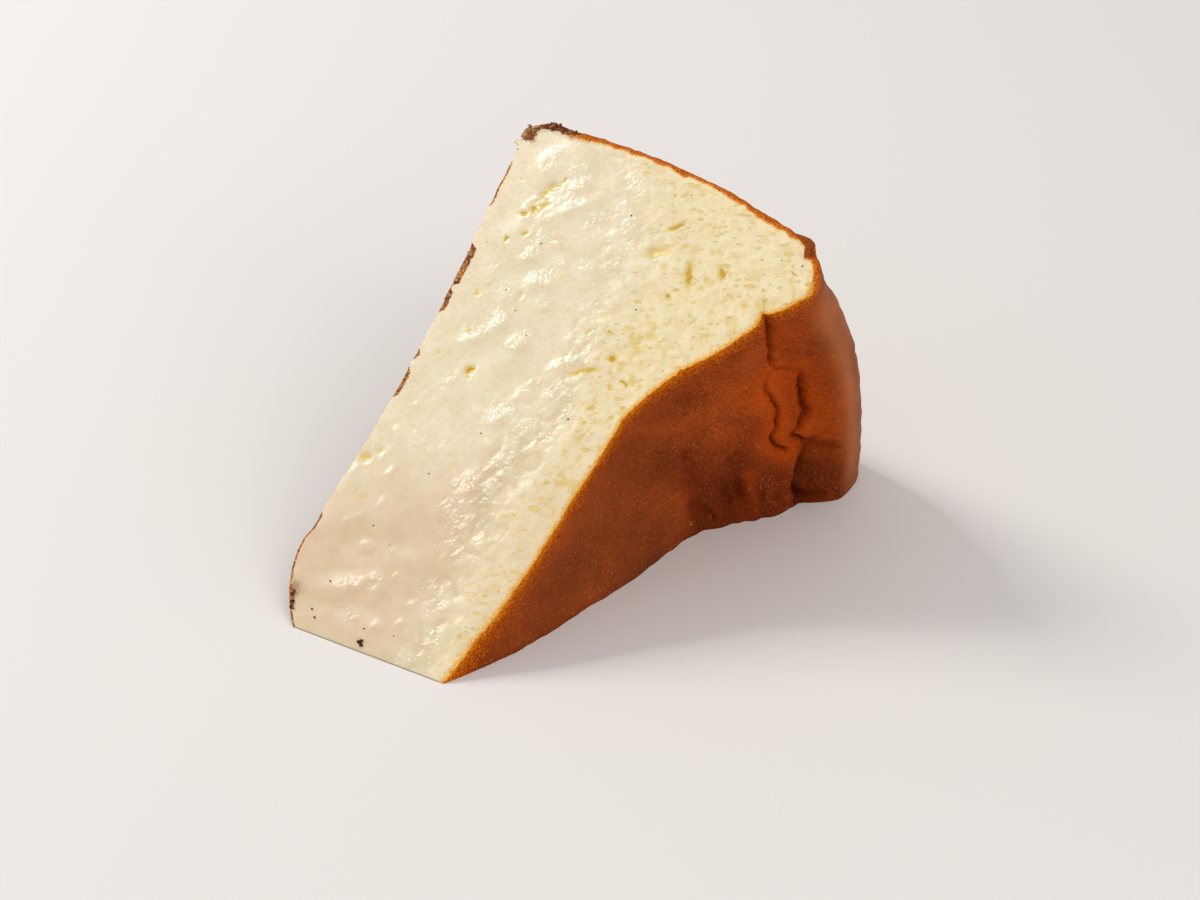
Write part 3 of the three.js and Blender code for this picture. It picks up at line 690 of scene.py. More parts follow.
def pores_inside(radius, height, curd):
    """Tint of the pores of the upper cut face, from 0 to 1, and how deep they dip."""
    warp_r = radius + billows(radius, height, PORE_WARP_ALONG)
    warp_h = height + billows(radius, height, PORE_WARP_UP)
    tints, dips = np.zeros_like(radius), np.zeros_like(radius)
    for r, h, long, wide, turn, tint in pore_rows(radius, height, curd):
        share = smooth(oval(warp_r, warp_h, r, h, long, wide, turn), *PORE_BORDER)
        tints = np.maximum(tints, tint * share)
        dips = np.maximum(dips, min(PORE_STEEPNESS * wide, PORE_DEPTH) * share)
    return tints, dips


def crumbly_pits(radius, height, curd):
    """Small shallow dashes of the set curd and of the tan patch, from 0 to 1."""
    fine = FINE_PIT_SHARE * patches(radius, height, **FINE_PITS)
    dashed = np.maximum(patches(radius, height, **COARSE_PITS), fine)
    ground = PIT_GROUND + (1.0 - PIT_GROUND) * patches(radius, height, **PIT_PATCHES)
    rim_calm = 1.0 - PIT_RIM_LOSS * smooth(radius, *PIT_RIM_FADE)
    tan = smooth(oval(radius, height, *TAN_PATCH), *TAN_BORDER)
    share = np.maximum(smooth(curd, *PIT_CURD_FADE) * rim_calm * ground, TAN_STRENGTH * tan)
    return np.clip(share * dashed, 0.0, 1.0)


def ripple_strength(radius, height, to_base, curd, clots, molten):
    """How strongly the wet cream ripples: the listed patches over a faint ground, calm along the base."""
    strength = RIPPLE_GROUND_SHARE * (1.0 - molten) * patches(radius, height, **RIPPLE_GROUND)
    for r, h, reach, strong in RIPPLE_PATCHES:
        away = oval(radius, height, r, h, RIPPLE_PATCH_LENGTH * reach, reach, RIPPLE_TURN)
        strength = np.maximum(strength, strong * bell(away))
    clotted = CLOT_RIPPLE * clots * patches(radius, height, **CLOT_PATCHES)
    strength = np.maximum(strength * (1.0 - curd), clotted)
    return strength * smooth(to_base, *CALM_BASE_FADE)


def base_rind(radius):
    """Thickness of the dark rind along the base edge."""
    thickness = np.zeros_like(radius)
    for start, end, thick in BASE_RIND:
        begun = smooth(radius, start - BASE_RIND_END, start + BASE_RIND_END)
        ended = smooth(radius, end - BASE_RIND_END, end + BASE_RIND_END)
        thickness = np.maximum(thickness, thick * begun * (1.0 - ended))
    return thickness


def side_rind(height):
    """Thickness of the browned rind along the side edge, more at the foot, and uneven."""
    at_foot = (FOOT_RIND - SIDE_RIND) * smooth(height, *FOOT_RIND_FADE)
    return billows(height, 0.0 * height, NIBBLED_RIND) + SIDE_RIND + at_foot


def clot_lumps(radius, height):
    """Rounded lumps with sharp valleys, from 0 in a valley to about 1."""
    warp = billow(radius, height, *CLOT_WARP)
    return np.abs(billow(radius + warp, height - warp, *CLOT_LUMPS))


def lip_share(radius, height):
    """Share of the brown lip at the rim, from 0 to 1."""
    ragged = billow(radius, height, *LIP_RAGGED)
    share = np.zeros_like(radius)
    for (*start, wide), (*end, wide_end) in zip(LIP, LIP[1:]):
        t, out, up = from_line(radius, height, start, end)
        d = (np.hypot(out, up) + ragged) / (wide + t * (wide_end - wide))
        share = np.maximum(share, smooth(d, *LIP_BORDER))
    return share


def cut_relief(radius, height, edges, curd, clots, molten, ripple, dips):
    """Height of the upper cut face over its plane. edges holds the distances to the top, side and base."""
    to_top, to_side, to_base = edges
    to_crust = np.minimum(to_top, to_side)
    along, cross = turned(radius, height, -CREAM_TURN)
    bands = uneven(along / BAND_STRETCH, cross, *MOLTEN_BANDS)
    lumps = billow(along / LUMP_STRETCH, cross, *CREAM_LUMPS) * (1.0 - curd) * (1.0 - molten)
    along, cross = turned(radius, height, -RIPPLE_TURN)
    ripples = billows(along / RIPPLE_STRETCH, cross, RIPPLES)
    crumb = billows(radius, height, CURD_CRUMB)
    clotted = clot_lumps(radius, height)
    clot = CLOT_RISE * clotted + billow(radius, height, *CLOT_GRAIN)
    broad = billow(radius, height, *BROAD_WAVE) * smooth(to_base, *BROAD_WAVE_FADE)
    for r, h, long, wide in WET_BUMPS:
        away = oval(radius, height, r, h, WET_BUMP_LENGTH * long, wide, WET_BUMP_TURN)
        broad = broad + WET_BUMP_RISE * bell(away)
    lumped = curd + LEDGE_LUMPS * (clotted - LEDGE_LUMP_MIDDLE)
    ledge = LEDGE_RISE * smooth(lumped, *LEDGE_FADE) * smooth(radius, *LEDGE_RADII)
    calm = smooth(to_base, *CALM_BASE_FADE)
    texture = ledge + broad + calm * lumps + molten * bands + curd * crumb + clots * clot + ripple * ripples
    fade = smooth(np.minimum(to_crust, to_base), *RELIEF_EDGE_FADE) * smooth(radius, *RELIEF_TIP_FADE)
    dips = dips * smooth(to_crust, *DIP_EDGE_FADE) * smooth(radius, *DIP_TIP_FADE)
    rounding = EDGE_ROUND * bell(to_crust / EDGE_ROUND_REACH) * smooth(radius, *EDGE_ROUND_FADE)
    lip = LIP_STAND * lip_share(radius, height) * smooth(to_side, *LIP_STAND_FADE)
    return fade * texture - dips - rounding + lip


def spread(share):
    """Place along the slice of a share of the cells, which are finer towards the rim."""
    coarse = share / COARSE_SHARE_OF_CELLS * COARSE_SHARE_OF_LENGTH
    rest = (share - COARSE_SHARE_OF_CELLS) / (1.0 - COARSE_SHARE_OF_CELLS)
    fine = COARSE_SHARE_OF_LENGTH + (1.0 - COARSE_SHARE_OF_LENGTH) * rest
    return np.where(share < COARSE_SHARE_OF_CELLS, coarse, fine)


def in_space(radius, height, across):
    angle = across * SLICE_ANGLE
    return np.stack([radius * np.cos(angle), -height, radius * np.sin(angle)], axis=-1)


class Skin:
    """Vertices, faces and named values of one closed surface, gathered grid by grid."""

    def __init__(self):
        self.index = -np.ones((CELLS_ALONG + 1, CELLS_UP + 1, CELLS_ACROSS + 1), dtype=np.int64)
        self.places = []
        self.values = []
        self.faces = []
        self.slots = []

    def add_points(self, i, j, k, places, values):
        """Points with box indices i, j, k. Points that an earlier grid holds are shared."""
        for spot in map(tuple, np.argwhere(self.index[i, j, k] < 0)):
            key = (i[spot], j[spot], k[spot])
            if self.index[key] < 0:
                self.index[key] = len(self.places)
                self.places.append(places[spot])
                self.values.append([value[spot] for value in values])
        return self.index[i, j, k]

    def add_face(self, corners, slot):
        corners = list(dict.fromkeys(corners))
        if len(corners) > 2:
            self.faces.append(corners)
            self.slots.append(slot)

    def add_grid(self, i, j, k, places, values, slot):
        """A grid of faces. A named value that a grid leaves out is zero there. At the tip, k is always 0."""
        k = np.where(i == 0, 0, k)
        values = [np.broadcast_to(values.get(name, 0.0), i.shape) for name in VALUE_NAMES]
        ids = self.add_points(i, j, k, places, values)
        quads = np.stack([ids[:-1, :-1], ids[1:, :-1], ids[1:, 1:], ids[:-1, 1:]], axis=-1).reshape(-1, 4)
        slots = np.broadcast_to(np.ravel(slot), len(quads))
        for quad, kind in zip(quads.tolist(), slots.tolist()):
            self.add_face(quad, kind)

    def add_seam(self, coarse_row, fine_row, coarse_stride, fine_stride):
        """Faces between a row with wide steps across and its neighbour with finer ones. A row is i and j."""
        for k in range(0, CELLS_ACROSS, coarse_stride):
            coarse = [(*coarse_row, k), (*coarse_row, k + coarse_stride)]
            fine = [(*fine_row, n) for n in range(k + coarse_stride, k - 1, -fine_stride)]
            self.add_face([int(self.index[key]) for key in coarse + fine], CRUST_SLOT)


def grid(first, second, stride=1):
    return np.meshgrid(np.arange(first + 1), np.arange(0, second + 1, stride), indexing="ij")


def upper_cut_grid():
    i, j = grid(CELLS_ALONG, CELLS_UP)
    k = np.full(i.shape, CELLS_ACROSS)
    across = np.ones(i.shape)
    radius, height = section_points(spread(i / CELLS_ALONG), j / CELLS_UP, across)
    to_top = border_distance(radius, height, radius[:, -1], height[:, -1])
    to_side = border_distance(radius, height, radius[-1, :], height[-1, :])
    to_base = border_distance(radius, height, radius[:, 0], height[:, 0])
    curd, yellow, clots, molten = zones(radius, height)
    pores, dips = pores_inside(radius, height, curd)
    pits = crumbly_pits(radius, height, curd)
    dips = np.maximum(dips, PIT_DEPTH * pits)
    ripple = ripple_strength(radius, height, to_base, curd, clots, molten)
    relief = cut_relief(radius, height, (to_top, to_side, to_base), curd, clots, molten, ripple, dips)
    places = in_space(radius, height, across) + relief[..., None] * CUT_NORMAL
    lip = lip_share(radius, height)
    from_side = SIDE_STEEPNESS * (to_side - side_rind(height))
    skin = np.minimum(to_top, np.maximum(from_side, SIDE_SKIN_FLOOR)) - LIP_BROWNING * lip
    edge_toast = EDGE_TOAST * smooth(to_side, *EDGE_TOAST_FADE)
    values = dict(
        skin=skin, rind=base_rind(radius) - to_base, base_kind=smooth(height, *CUT_BASE_FADE),
        side_kind=smooth(to_top - to_side, *CUT_SIDE_FADE), curd=curd, yellow=yellow, molten=molten,
        ripple=ripple, hollow=np.maximum(pores, PIT_TINT * pits), clots=clots,
        # valley holds the painted shade of the valleys between the clot lumps
        valley=clots * smooth(clot_lumps(radius, height), *CLOT_VALLEY_SHADE_FADE),
        stain=STAIN_SHARE * bell(oval(radius, height, *STAIN)),
        # painted shade under the lip's hook, at its end
        crack=LIP_END_PAINTED_SHADE * lip * smooth(height, *LIP_END_SHADE_FADE),
        toast=np.maximum(LIP_TOAST * lip, edge_toast),
        cake_r=radius, cake_h=height, cake_arc=arc_length(radius, across))
    browned = np.minimum(from_side, skin) < BROWNED_SKIN
    whole = browned[:-1, :-1] & browned[1:, :-1] & browned[1:, 1:] & browned[:-1, 1:]
    return i, j, k, places, values, np.where(whole, CRUST_SLOT, INSIDE_SLOT)


def crust_values(radius, height, across, **own):
    """Named values on a crust. skin runs below zero away from the upper cut face."""
    return dict(skin=-arc_length(radius, 1.0 - across), rind=-1.0, curd=1.0, yellow=1.0,
                cake_r=radius, cake_h=height, cake_arc=arc_length(radius, across), **own)


def toast_and_shade_on_top(radius, across):
    """Share of darker browning on the top, in the hollows at the foot of the rise, low down, and in spots.
    Along the foot where the top meets the floor it is painted contact shade, and one spot is painted shade on
    the lobe's flank.
    """
    low = smooth(across, *LOW_TOAST_FADE) * bell((radius - LOW_TOAST_RADIUS) / LOW_TOAST_WIDTH)
    browned = LOW_TOAST * low + FOOT_CONTACT_SHADE * bell(across / FOOT_CONTACT_SHADE_WIDTH)
    browned = browned + TIP_TOAST * smooth(radius, *TIP_TOAST_FADE)
    for r, half_width, way, half_way, share in TOAST_AND_SHADE_SPOTS:
        browned = browned + share * bell((radius - r) / half_width) * bell((across - way) / half_way)
    return np.clip(browned + billow(radius, arc_length(radius, across), *TOP_TOAST_WAVE), 0.0, 1.0)


def orange_on_top(radius, across):
    """Share of the lighter orange crust: the flap between the cracks and the rim's flank by the fold."""
    def along(route, half_width):
        return bell(route_distance(radius, across, route)[0] / half_width)

    upper = UPPER_ORANGE_SHARE * along(UPPER_FOLD, UPPER_ORANGE_WIDTH)
    beside = np.maximum(along(MIDDLE_FOLD, FOLD_ORANGE_WIDTH), upper) * smooth(radius, *BESIDE_ORANGE_FADE)
    orange = np.maximum(BESIDE_ORANGE * beside, along(FLAP, FLAP_ORANGE_WIDTH))
    return np.clip(orange + RIDGE_ORANGE * along(RIDGE, RIDGE_ORANGE_WIDTH), 0.0, 1.0)


def top_grid():
    i, k = grid(CELLS_ALONG, CELLS_ACROSS)
    j = np.full(i.shape, CELLS_UP)
    along, across = spread(i / CELLS_ALONG), k / CELLS_ACROSS
    radius, height = top_border(along, across)
    flat_radius = smooth_top(along, across)[0]
    crest = profile("crest", across)
    # the wrinkles' depth, scaled as painted shade in their grooves
    grooves = WRINKLE_PAINTED_SHADE * wrinkle_depth(flat_radius, across)
    values = crust_values(
        radius, height, across, side_kind=RIM_SIDE_SHARE * smooth(radius, crest - RIM_SIDE_REACH, crest),
        # painted shade along the bottoms of the cracks and in the wrinkles' grooves
        crack=np.maximum(crack_depth(flat_radius, across)[1], grooves),
        toast=toast_and_shade_on_top(flat_radius, across), orange=orange_on_top(flat_radius, across))
    return i, j, k, in_space(radius, height, across), values, CRUST_SLOT


def base_grid():
    i, k = grid(CELLS_ALONG - 1, CELLS_ACROSS, BASE_STRIDE)
    j = np.zeros(i.shape, dtype=np.int64)
    across = k / CELLS_ACROSS
    radius, height = base_border(spread(i / CELLS_ALONG), across)
    waves = billows(radius, arc_length(radius, across), BASE_TOAST_WAVES)
    values = crust_values(radius, height, across, base_kind=1.0, toast=np.clip(BASE_TOAST + waves, 0.0, 1.0))
    return i, j, k, in_space(radius, height, across), values, CRUST_SLOT


def side_grid():
    j, k = grid(CELLS_UP - 1, CELLS_ACROSS, SIDE_STRIDE)
    i = np.full(j.shape, CELLS_ALONG)
    up, across = j / CELLS_UP, k / CELLS_ACROSS
    radius, height = side_border(up, across)
    waves = billows(height, arc_length(radius, across), SIDE_TOAST_WAVES)
    values = crust_values(
        radius, height, across, side_kind=1.0 - (1.0 - RIM_SIDE_SHARE) * smooth(up, *RIM_SIDE_FADE),
        base_kind=smooth(height, *SIDE_BASE_FADE), toast=np.clip(SIDE_TOAST + waves, 0.0, 1.0))
    return i, j, k, in_space(radius, height, across), values, CRUST_SLOT


def lower_outline():
    """Box indices round the flat lower cut face."""
    ring = [(i, 0, 0) for i in range(CELLS_ALONG)]
    ring += [(CELLS_ALONG, j, 0) for j in range(CELLS_UP)]
    ring += [(i, CELLS_UP, 0) for i in range(CELLS_ALONG, 0, -1)]
    ring += [(0, j, 0) for j in range(CELLS_UP, 0, -1)]
    return ring


def frame_shift(places):
    """What to take off the cake's own axes to stand the slice where the solid stands."""
    low, high = (np.array(corner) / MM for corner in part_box(NODE))
    own = (places.min(axis=0) + places.max(axis=0)) / 2.0
    middle = (low + high) / 2.0
    return np.array([own[0] - middle[0], own[1] - middle[1], 0.0])


def set_values(mesh, name, values):
    mesh.attributes.new(name, "FLOAT", "POINT").data.foreach_set("value", np.array(values, dtype=np.float32))


def slice_mesh():
    """The dressed slice as a closed mesh, and the shift from the cake's own axes to the frame."""
    skin = Skin()
    for made in (upper_cut_grid(), top_grid(), side_grid(), base_grid()):
        skin.add_grid(*made)
    skin.add_seam((CELLS_ALONG, CELLS_UP - 1), (CELLS_ALONG, CELLS_UP), SIDE_STRIDE, 1)
    skin.add_seam((CELLS_ALONG - 1, 0), (CELLS_ALONG, 0), BASE_STRIDE, SIDE_STRIDE)
    skin.add_face([int(skin.index[key]) for key in lower_outline()], INSIDE_SLOT)
    places = np.array(skin.places)
    shift = frame_shift(places)
    mesh = bpy.data.meshes.new("slice")
    mesh.from_pydata(((places - shift) * MM).tolist(), [], skin.faces)
    mesh.polygons.foreach_set("material_index", skin.slots)
    for name, values in zip(VALUE_NAMES, np.array(skin.values).T):
        set_values(mesh, name, values)
    shape = bmesh.new()
    shape.from_mesh(mesh)
    bmesh.ops.triangulate(shape, faces=[face for face in shape.faces if len(face.verts) > 4])
    bmesh.ops.recalc_face_normals(shape, faces=shape.faces)
    for face in shape.faces:
        face.smooth = True
    for edge in shape.edges:
        edge.smooth = edge.calc_face_angle(0.0) < SHARP_ANGLE
    shape.to_mesh(mesh)
    shape.free()
    return mesh, shift


def srgb(code):
    """A colour code such as #f3e4bc as Blender's linear colour."""
    parts = [int(code[k:k + 2], 16) / 255.0 for k in (1, 3, 5)]
    linear = [c / 12.92 if c <= 0.04045 else ((c + 0.055) / 1.055) ** 2.4 for c in parts]
    return (*linear, 1.0)


class Output:
    """A node's output. Adding, taking away and multiplying make math nodes."""

    def __init__(self, graph, socket):
        self.graph = graph
        self.socket = socket

    def __add__(self, other):
        return self.graph.math("ADD", self, other)

    def __sub__(self, other):
        return self.graph.math("SUBTRACT", self, other)

    def __rsub__(self, other):
        return self.graph.math("SUBTRACT", other, self)

    def __mul__(self, other):
        return self.graph.math("MULTIPLY", self, other)


class Graph:
    """A material's node tree, with short calls for the nodes used here."""

    def __init__(self, name):
        self.material = bpy.data.materials.new(name)
        self.material.use_nodes = True
        self.tree = self.material.node_tree
        self.tree.nodes.clear()

    def add(self, kind, inputs, **settings):
        made = self.tree.nodes.new(kind)
        for name, value in settings.items():
            setattr(made, name, value)
        for name, value in inputs.items():
            if isinstance(value, Output):
                self.tree.links.new(value.socket, made.inputs[name])
            else:
                made.inputs[name].default_value = srgb(value) if isinstance(value, str) else value
        return made

    def node(self, kind, inputs, output=0, **settings):
        return Output(self, self.add(kind, inputs, **settings).outputs[output])

    def value(self, name):
        return self.node("ShaderNodeAttribute", {}, "Fac", attribute_name=name)

    def vector(self, x, y, z):
        return self.node("ShaderNodeCombineXYZ", {"X": x, "Y": y, "Z": z})

    def place(self):
        return self.vector(self.value("cake_r"), self.value("cake_h"), self.value("cake_arc"))

    def turned_place(self, degrees, stretch):
        """Radius and height turned so that the first runs along a grain, which is stretched."""
        c, s = math.cos(math.radians(degrees)), math.sin(math.radians(degrees))
        r, h = self.value("cake_r"), self.value("cake_h")
        return self.vector(r * (c / stretch) + h * (s / stretch), h * c - r * s, self.value("cake_arc"))

    def math(self, operation, a, b):
        return self.node("ShaderNodeMath", {0: a, 1: b}, operation=operation)

    def larger(self, a, b):
        return self.math("MAXIMUM", a, b)

    def noise(self, vector, scale, detail, roughness):
        inputs = {"Vector": vector, "Scale": scale, "Detail": detail, "Roughness": roughness}
        return self.node("ShaderNodeTexNoise", inputs)

    def cells(self, vector, scale):
        """Distance from the middle of a cell of a loose grid, and a value of the cell's own."""
        made = self.add("ShaderNodeTexVoronoi", {"Vector": vector, "Scale": scale})
        return Output(self, made.outputs["Distance"]), Output(self, made.outputs["Color"])

    def step(self, value, low, high):
        inputs = {"Value": value, "From Min": low, "From Max": high}
        return self.node("ShaderNodeMapRange", inputs, interpolation_type="SMOOTHSTEP")

    def spots(self, vector, scale, detail, roughness, low, high):
        return self.step(self.noise(vector, scale, detail, roughness), low, high)

    def between(self, value, low, high):
        return self.node("ShaderNodeMapRange", {"Value": value, "To Min": low, "To Max": high})

    def mix(self, share, a, b):
        """A mix of two colours, by the node's colour sockets."""
        return self.node("ShaderNodeMix", {0: share, 6: a, 7: b}, 2, data_type="RGBA")

    def layers(self, colour, rows):
        """A colour with others laid over it, each by its own share."""
        for share, tone in rows:
            colour = self.mix(share, colour, tone)
        return colour

    def lerp(self, share, a, b):
        """A mix of two numbers, by the node's number sockets."""
        return self.node("ShaderNodeMix", {0: share, 2: a, 3: b})

    def ramp(self, share, stops):
        made = self.add("ShaderNodeValToRGB", {"Fac": share})
        elements = made.color_ramp.elements
        while len(elements) < len(stops):
            elements.new(1.0)
        for element, (position, colour) in zip(elements, stops):
            element.position = position
            element.color = srgb(colour)
        return Output(self, made.outputs["Color"])

    def bump(self, height, distance):
        return self.node("ShaderNodeBump", {"Height": height, "Strength": 1.0, "Distance": distance})

    def finish(self, inputs):
        shader = self.node("ShaderNodeBsdfPrincipled", inputs)
        self.add("ShaderNodeOutputMaterial", {"Surface": shader})
        return self.material


def dashes(g, scale, turn, most):
    """Crisp dashes of many sizes, from 0 to 1, one in some of the cells of a loose grid."""
    distance, own = g.cells(g.turned_place(turn, DASH_STRETCH), scale)
    size = (own - DASH_LEAST) * most
    frayed = (g.noise(g.turned_place(turn, 1.0), *DASH_FRAY) - 0.5) * DASH_FRAY_DEPTH
    return g.step(distance - size + frayed, *DASH_BORDER)


def inside_colour(g, place, dashed):
    """Pale curd, cream and molten middle, with tan pores, orange bits and vanilla specks."""
    curd, hollow = g.value("curd"), g.value("hollow")
    mottle = g.spots(place, *CREAM_MOTTLE)
    pits = dashed * g.step(curd, *DASH_CURD_FADE) * DASH_TINT
    bits = g.step(g.cells(place, BIT_CELLS)[0], *BIT_BORDER) * curd
    return g.layers(g.mix(mottle, CREAM_DEEP, CREAM_PALE), [
        (g.value("yellow"), g.mix(g.spots(place, *CURD_MOTTLE), CURD_DEEP, CURD_PALE)),
        (g.value("molten"), g.mix(mottle, MOLTEN_DEEP, MOLTEN_PALE)),
        # painted shade in the valleys between the clot lumps
        (g.value("valley") * CLOT_VALLEY_SHADE_TINT, CLOT_VALLEY_PAINTED_SHADE),
        (g.larger(pits, g.step(hollow, *SHALLOW_FADE)), PORE_SHALLOW),
        (g.step(hollow, *DEEP_FADE), PORE_DEEP),
        (bits * BIT_TINT, ORANGE_BIT),
        (g.value("stain") * g.spots(place, *STAIN_MOTTLE), STAIN_BROWN),
        # painted contact shadow along the tip line on the floor
        (g.step(g.value("cake_r"), *CONTACT_SHADOW_FADE), CONTACT_SHADOW),
        (g.step(g.cells(place, SPECK_CELLS)[0], *SPECK_BORDER), VANILLA)])


def crust_colour(g, place):
    """Browned top, side and base, told apart by the values on the mesh."""
    toast, radius, skin = g.value("toast"), g.value("cake_r"), g.value("skin")
    grain = g.noise(place, *CRUST_GRAIN)
    near_cut = g.step(skin, *NEAR_CUT_FADE) * g.step(radius, *NEAR_CUT_RADII)
    patchy = g.between(g.spots(place, *SPECK_AND_GLINT_PATCHES), *SPECK_AND_GLINT_TINTS)
    top = g.layers(g.ramp(g.noise(place, *CRUST_PATCH) * 0.5 + grain * 0.5, CRUST_RAMP), [
        (g.between(g.step(radius, *DULL_FADE), 0.0, DULL_SHARE), CRUST_DULL),
        (near_cut * NEAR_CUT_TINT, CRUST_LIGHT),
        (g.value("orange") * ORANGE_TINT, CRUST_ORANGE),
        # darker browning, with painted shade on the lobe's flank and along the foot on the floor
        (toast * TOAST_AND_SHADE_TINT, TOAST_AND_SHADE_BROWN),
        # light specks, partly the crust's grain and partly painted glints
        (g.spots(place, *CRUST_SPECK_AND_GLINT_SPOTS) * patchy, CRUST_SPECK_AND_GLINT)])
    browning = toast + g.step(grain, *GRAIN_FADE) * GRAIN_BROWNING
    side = g.mix(g.step(browning, *SIDE_BROWNING), SIDE_BROWN, SIDE_DARK)
    # the side's brown with painted sheen, away from the upper cut face
    flank = g.mix(g.step(browning, *BASE_BROWNING), FLANK_BROWN_AND_SHEEN, FLANK_DARK_AND_SHEEN)
    base = g.mix(g.step(browning, *BASE_BROWNING), BASE_BROWN, BASE_DARK)
    return g.layers(top, [
        (g.value("side_kind"), g.mix(g.step(skin, *FLANK_AND_SHEEN_FADE), side, flank)),
        # painted shade in the cracks, the wrinkles' grooves and under the lip's hook
        (g.value("crack") * PAINTED_SHADE_TINT, PAINTED_SHADE_BROWN),
        (g.value("base_kind"), base)])


def browned_edge(g, place, inside, crust):
    """From crust through orange and gold to the pale inside, by the distance from the skin."""
    on_base = g.value("base_kind")
    frayed = (g.noise(place, *EDGE_FRAY) - 0.5) * EDGE_FRAY_DEPTH
    narrow = g.between(g.step(g.value("cake_r"), *NARROW_EDGE_FADE), 1.0, NARROW_EDGE)
    depth = g.value("skin") * narrow + frayed
    tones = [(g.step(depth, *fade) * (1.0 - on_base), tone) for tone, fade in EDGE_TONES]
    crust_on_base = g.step(depth, *BASE_CRUST_FADE) * on_base
    band = g.step(depth, *GRIT_FADE) * g.step(depth, *GRIT_END_FADE)
    rind = g.ramp(g.spots(place, *RIND_GRAIN), RIND_RAMP)
    return g.layers(inside, tones + [
        (g.larger(g.step(depth + frayed, *CRUST_FADE), crust_on_base), crust),
        (g.spots(place, *DARK_GRIT) * (band * DARK_GRIT_TINT), EDGE_GRIT),
        (g.spots(place, *LIGHT_GRIT) * (band * LIGHT_GRIT_TINT), EDGE_SPARK),
        (g.step(g.value("rind") + frayed * RIND_FRAY, *RIND_FADE), rind)])


def inside_material():
    g = Graph("cheesecake_inside")
    place = g.place()
    dashed = g.larger(*[dashes(g, *row) for row in DASHES])
    colour = browned_edge(g, place, inside_colour(g, place, dashed), crust_colour(g, place))
    skin = g.value("skin")
    wet = g.step(skin, *WET_FADE) * (1.0 - g.value("curd"))
    cream_roughness = g.lerp(g.spots(place, *GLOSS_SPOTS), *CREAM_ROUGHNESS)
    roughness = g.lerp(wet, g.between(g.noise(place, *CURD_GLOSS), *CURD_ROUGHNESS),
                       g.lerp(g.value("molten"), cream_roughness, MOLTEN_ROUGHNESS))
    browned = g.larger(g.step(skin, *BROWNED_FADE), g.step(g.value("rind"), *BROWNED_RIND_FADE))
    roughness = g.lerp(browned, roughness, BROWNED_ROUGHNESS)

    # Fine relief: crumb and dashes in the curd, small streaks where the wet cream ripples, beads on the clots
    crumb = g.noise(place, *FINE_CRUMB) - dashed * DASH_DIP
    waves = g.noise(g.turned_place(RIPPLE_TURN, RIPPLE_STRETCH), *FINE_WAVES)
    streaks = waves * (g.value("ripple") * STREAK_SHARE)
    beaded = g.value("clots") * g.spots(place, *BEAD_PATCHES)
    beads = g.noise(place, *BEADS) * (beaded * BEAD_SHARE)
    normal = g.bump(g.lerp(wet, crumb, streaks + beads), INSIDE_BUMP_M)
    scatter = g.step(skin, *PALE_FADE) * SCATTER_SHARE
    return g.finish({"Base Color": colour, "Roughness": roughness, "Normal": normal,
                     "Subsurface Weight": scatter, "Subsurface Radius": SCATTER_COLOURS,
                     "Subsurface Scale": SCATTER_M, "Specular IOR Level": INSIDE_SPECULAR})


def crust_material():
    g = Graph("cheesecake_crust")
    place = g.place()
    crust = crust_colour(g, place)
    colour = browned_edge(g, place, g.mix(g.value("base_kind"), GOLD, crust), crust)
    roughness = g.between(g.noise(place, *CRUST_GLOSS), *CRUST_ROUGHNESS)
    normal = g.bump(g.noise(place, *CRUST_BUMPS), CRUST_BUMP_M)
    return g.finish({"Base Color": colour, "Roughness": roughness, "Normal": normal,
                     "Specular IOR Level": CRUST_SPECULAR, "Specular Tint": CRUST_TINT})


def crumb_material():
    g = Graph("burnt_crumb")
    place = g.node("ShaderNodeTexCoord", {}, "Object")
    speckle = (g.noise(place, *BURNT_SPECKLE) - 0.5) * CRUMB_SPECKLING
    colour = g.ramp(g.value("tone") + speckle, CRUMB_RAMP)
    return g.finish({"Base Color": colour, "Roughness": CRUMB_ROUGHNESS,
                     "Specular IOR Level": CRUMB_SPECULAR})


def link(name, data):
    made = bpy.data.objects.new(name, data)
    bpy.context.scene.collection.objects.link(made)
    return made


def add_slice():
    mesh, shift = slice_mesh()
    mesh.materials.append(inside_material())
    mesh.materials.append(crust_material())
    piece = link("slice_dressed", mesh)
    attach(piece, "root")
    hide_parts(NODE)
    return shift


def crumb_rows():
    """Radius, height, size and tone of every crumb: the listed ones, then seeded grains of each cluster."""
    rng = np.random.default_rng(CRUMB_SEED)
    rows = list(CRUMBS)
    foot = smooth_side(np.zeros(1), np.ones(1))[0]
    for r, over_edge, wide, high, count, least, most, tone in CRUMB_CLUSTERS:
        for _ in range(count):
            radius = r + wide * rng.uniform(-1.0, 1.0)
            edge = smooth_base(np.minimum(radius / foot, 1.0), np.ones(1))[1][0]
            height = edge + over_edge + high * rng.uniform(-1.0, 1.0)
            size = rng.uniform(least, most)
            rows.append((radius, height, size, tone + rng.uniform(*CRUMB_TONE_RANGE)))
    return rows


def crumb_hull(rng):
    """Corners and faces of one angular crumb about a unit across."""
    hull = bmesh.new()
    for _ in range(CRUMB_CORNERS):
        away = Vector(rng.normal(size=3)).normalized()
        hull.verts.new(away * rng.uniform(*CRUMB_CORNER_RANGE))
    bmesh.ops.convex_hull(hull, input=hull.verts, use_existing_faces=False)
    for vert in [vert for vert in hull.verts if not vert.link_faces]:
        hull.verts.remove(vert)
    hull.verts.index_update()
    corners = np.array([vert.co for vert in hull.verts])
    faces = [[vert.index for vert in face.verts] for face in hull.faces]
    hull.free()
    return corners, faces


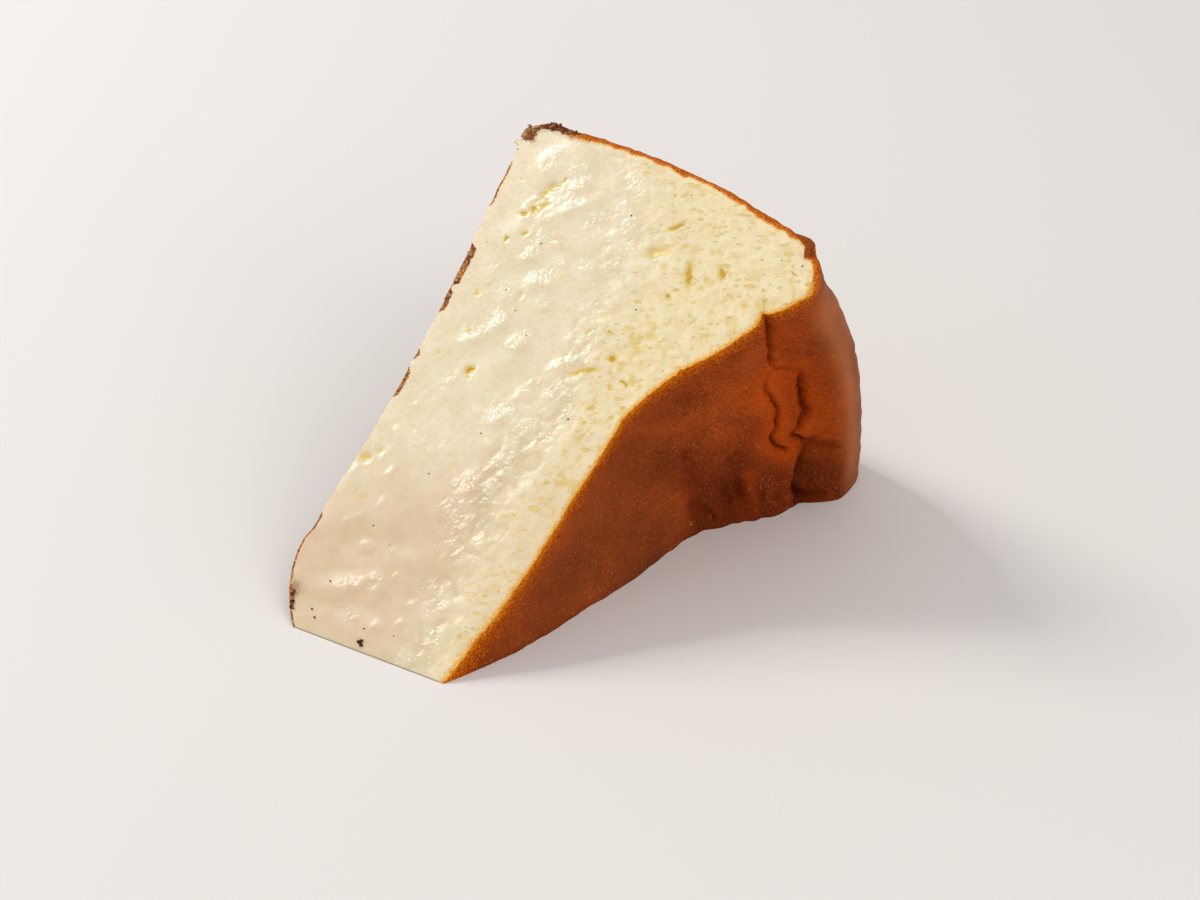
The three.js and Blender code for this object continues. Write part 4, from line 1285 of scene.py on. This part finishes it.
def add_crumbs(shift):
    """Burnt crumbs on the cut face and along its edges, joined in one mesh."""
    rng = np.random.default_rng(CRUMB_SEED + 1)
    places, faces, tones = [], [], []
    for radius, height, size, tone in crumb_rows():
        spot = in_space(np.array(radius), np.array(height), 1.0) + CRUMB_STAND * size * CUT_NORMAL - shift
        corners, sides = crumb_hull(rng)
        faces += [[len(places) + corner for corner in side] for side in sides]
        places += (spot + corners * size).tolist()
        tones += [tone] * len(corners)
    mesh = bpy.data.meshes.new("burnt_crumbs")
    mesh.from_pydata((np.array(places) * MM).tolist(), [], faces)
    set_values(mesh, "tone", tones)
    mesh.materials.append(crumb_material())
    piece = link("burnt_crumbs", mesh)
    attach(piece, "root")


def add_camera(shift):
    data = bpy.data.cameras.new("camera")
    data.sensor_fit = "HORIZONTAL"
    data.angle = FIELD_OF_VIEW
    data.clip_start = CLIP_START_M
    camera = link("camera", data)
    back = -VIEW_DIRECTION.normalized()
    right = VIEW_RIGHT.normalized()
    turn = Matrix((right, back.cross(right), back)).transposed().to_4x4()
    tip = (Vector((0.0, -TIP_TOP, 0.0)) - Vector(shift)) * MM
    camera.matrix_world = Matrix.Translation(tip + CAMERA_FROM_TIP) @ turn
    bpy.context.scene.camera = camera


def add_floor():
    mesh = bpy.data.meshes.new("floor")
    corners = [(x * FLOOR_HALF_M, y * FLOOR_HALF_M, 0) for x, y in ((-1, -1), (1, -1), (1, 1), (-1, 1))]
    mesh.from_pydata(corners, [], [(0, 1, 2, 3)])
    mesh.materials.append(Graph("floor").finish({"Base Color": FLOOR_COLOUR, "Roughness": FLOOR_ROUGHNESS}))
    floor = link("floor", mesh)


def add_light(name, sideways, away, up, distance, size, watts, colour):
    """An area light that faces the slice, placed by shares to the camera's right, away from it and up."""
    ahead = Vector((VIEW_DIRECTION.x, VIEW_DIRECTION.y, 0.0)).normalized()
    towards = (VIEW_RIGHT.normalized() * sideways + ahead * away + Vector((0.0, 0.0, up))).normalized()
    data = bpy.data.lights.new(name, "AREA")
    data.shape = "DISK"
    data.size = size
    data.energy = watts
    data.color = colour
    lamp = link(name, data)
    lamp.location = LIGHT_TARGET + towards * distance
    lamp.rotation_euler = towards.to_track_quat("Z", "Y").to_euler()


def add_studio():
    world = bpy.data.worlds.new("studio")
    world.use_nodes = True
    background = world.node_tree.nodes["Background"]
    background.inputs["Color"].default_value = WORLD_COLOUR
    background.inputs["Strength"].default_value = WORLD_STRENGTH
    bpy.context.scene.world = world
    bpy.context.scene.view_settings.view_transform = "Standard"
    for light in LIGHTS:
        add_light(*light)


frame_from_cake = add_slice()
add_crumbs(frame_from_cake)
add_camera(frame_from_cake)
add_floor()
add_studio()
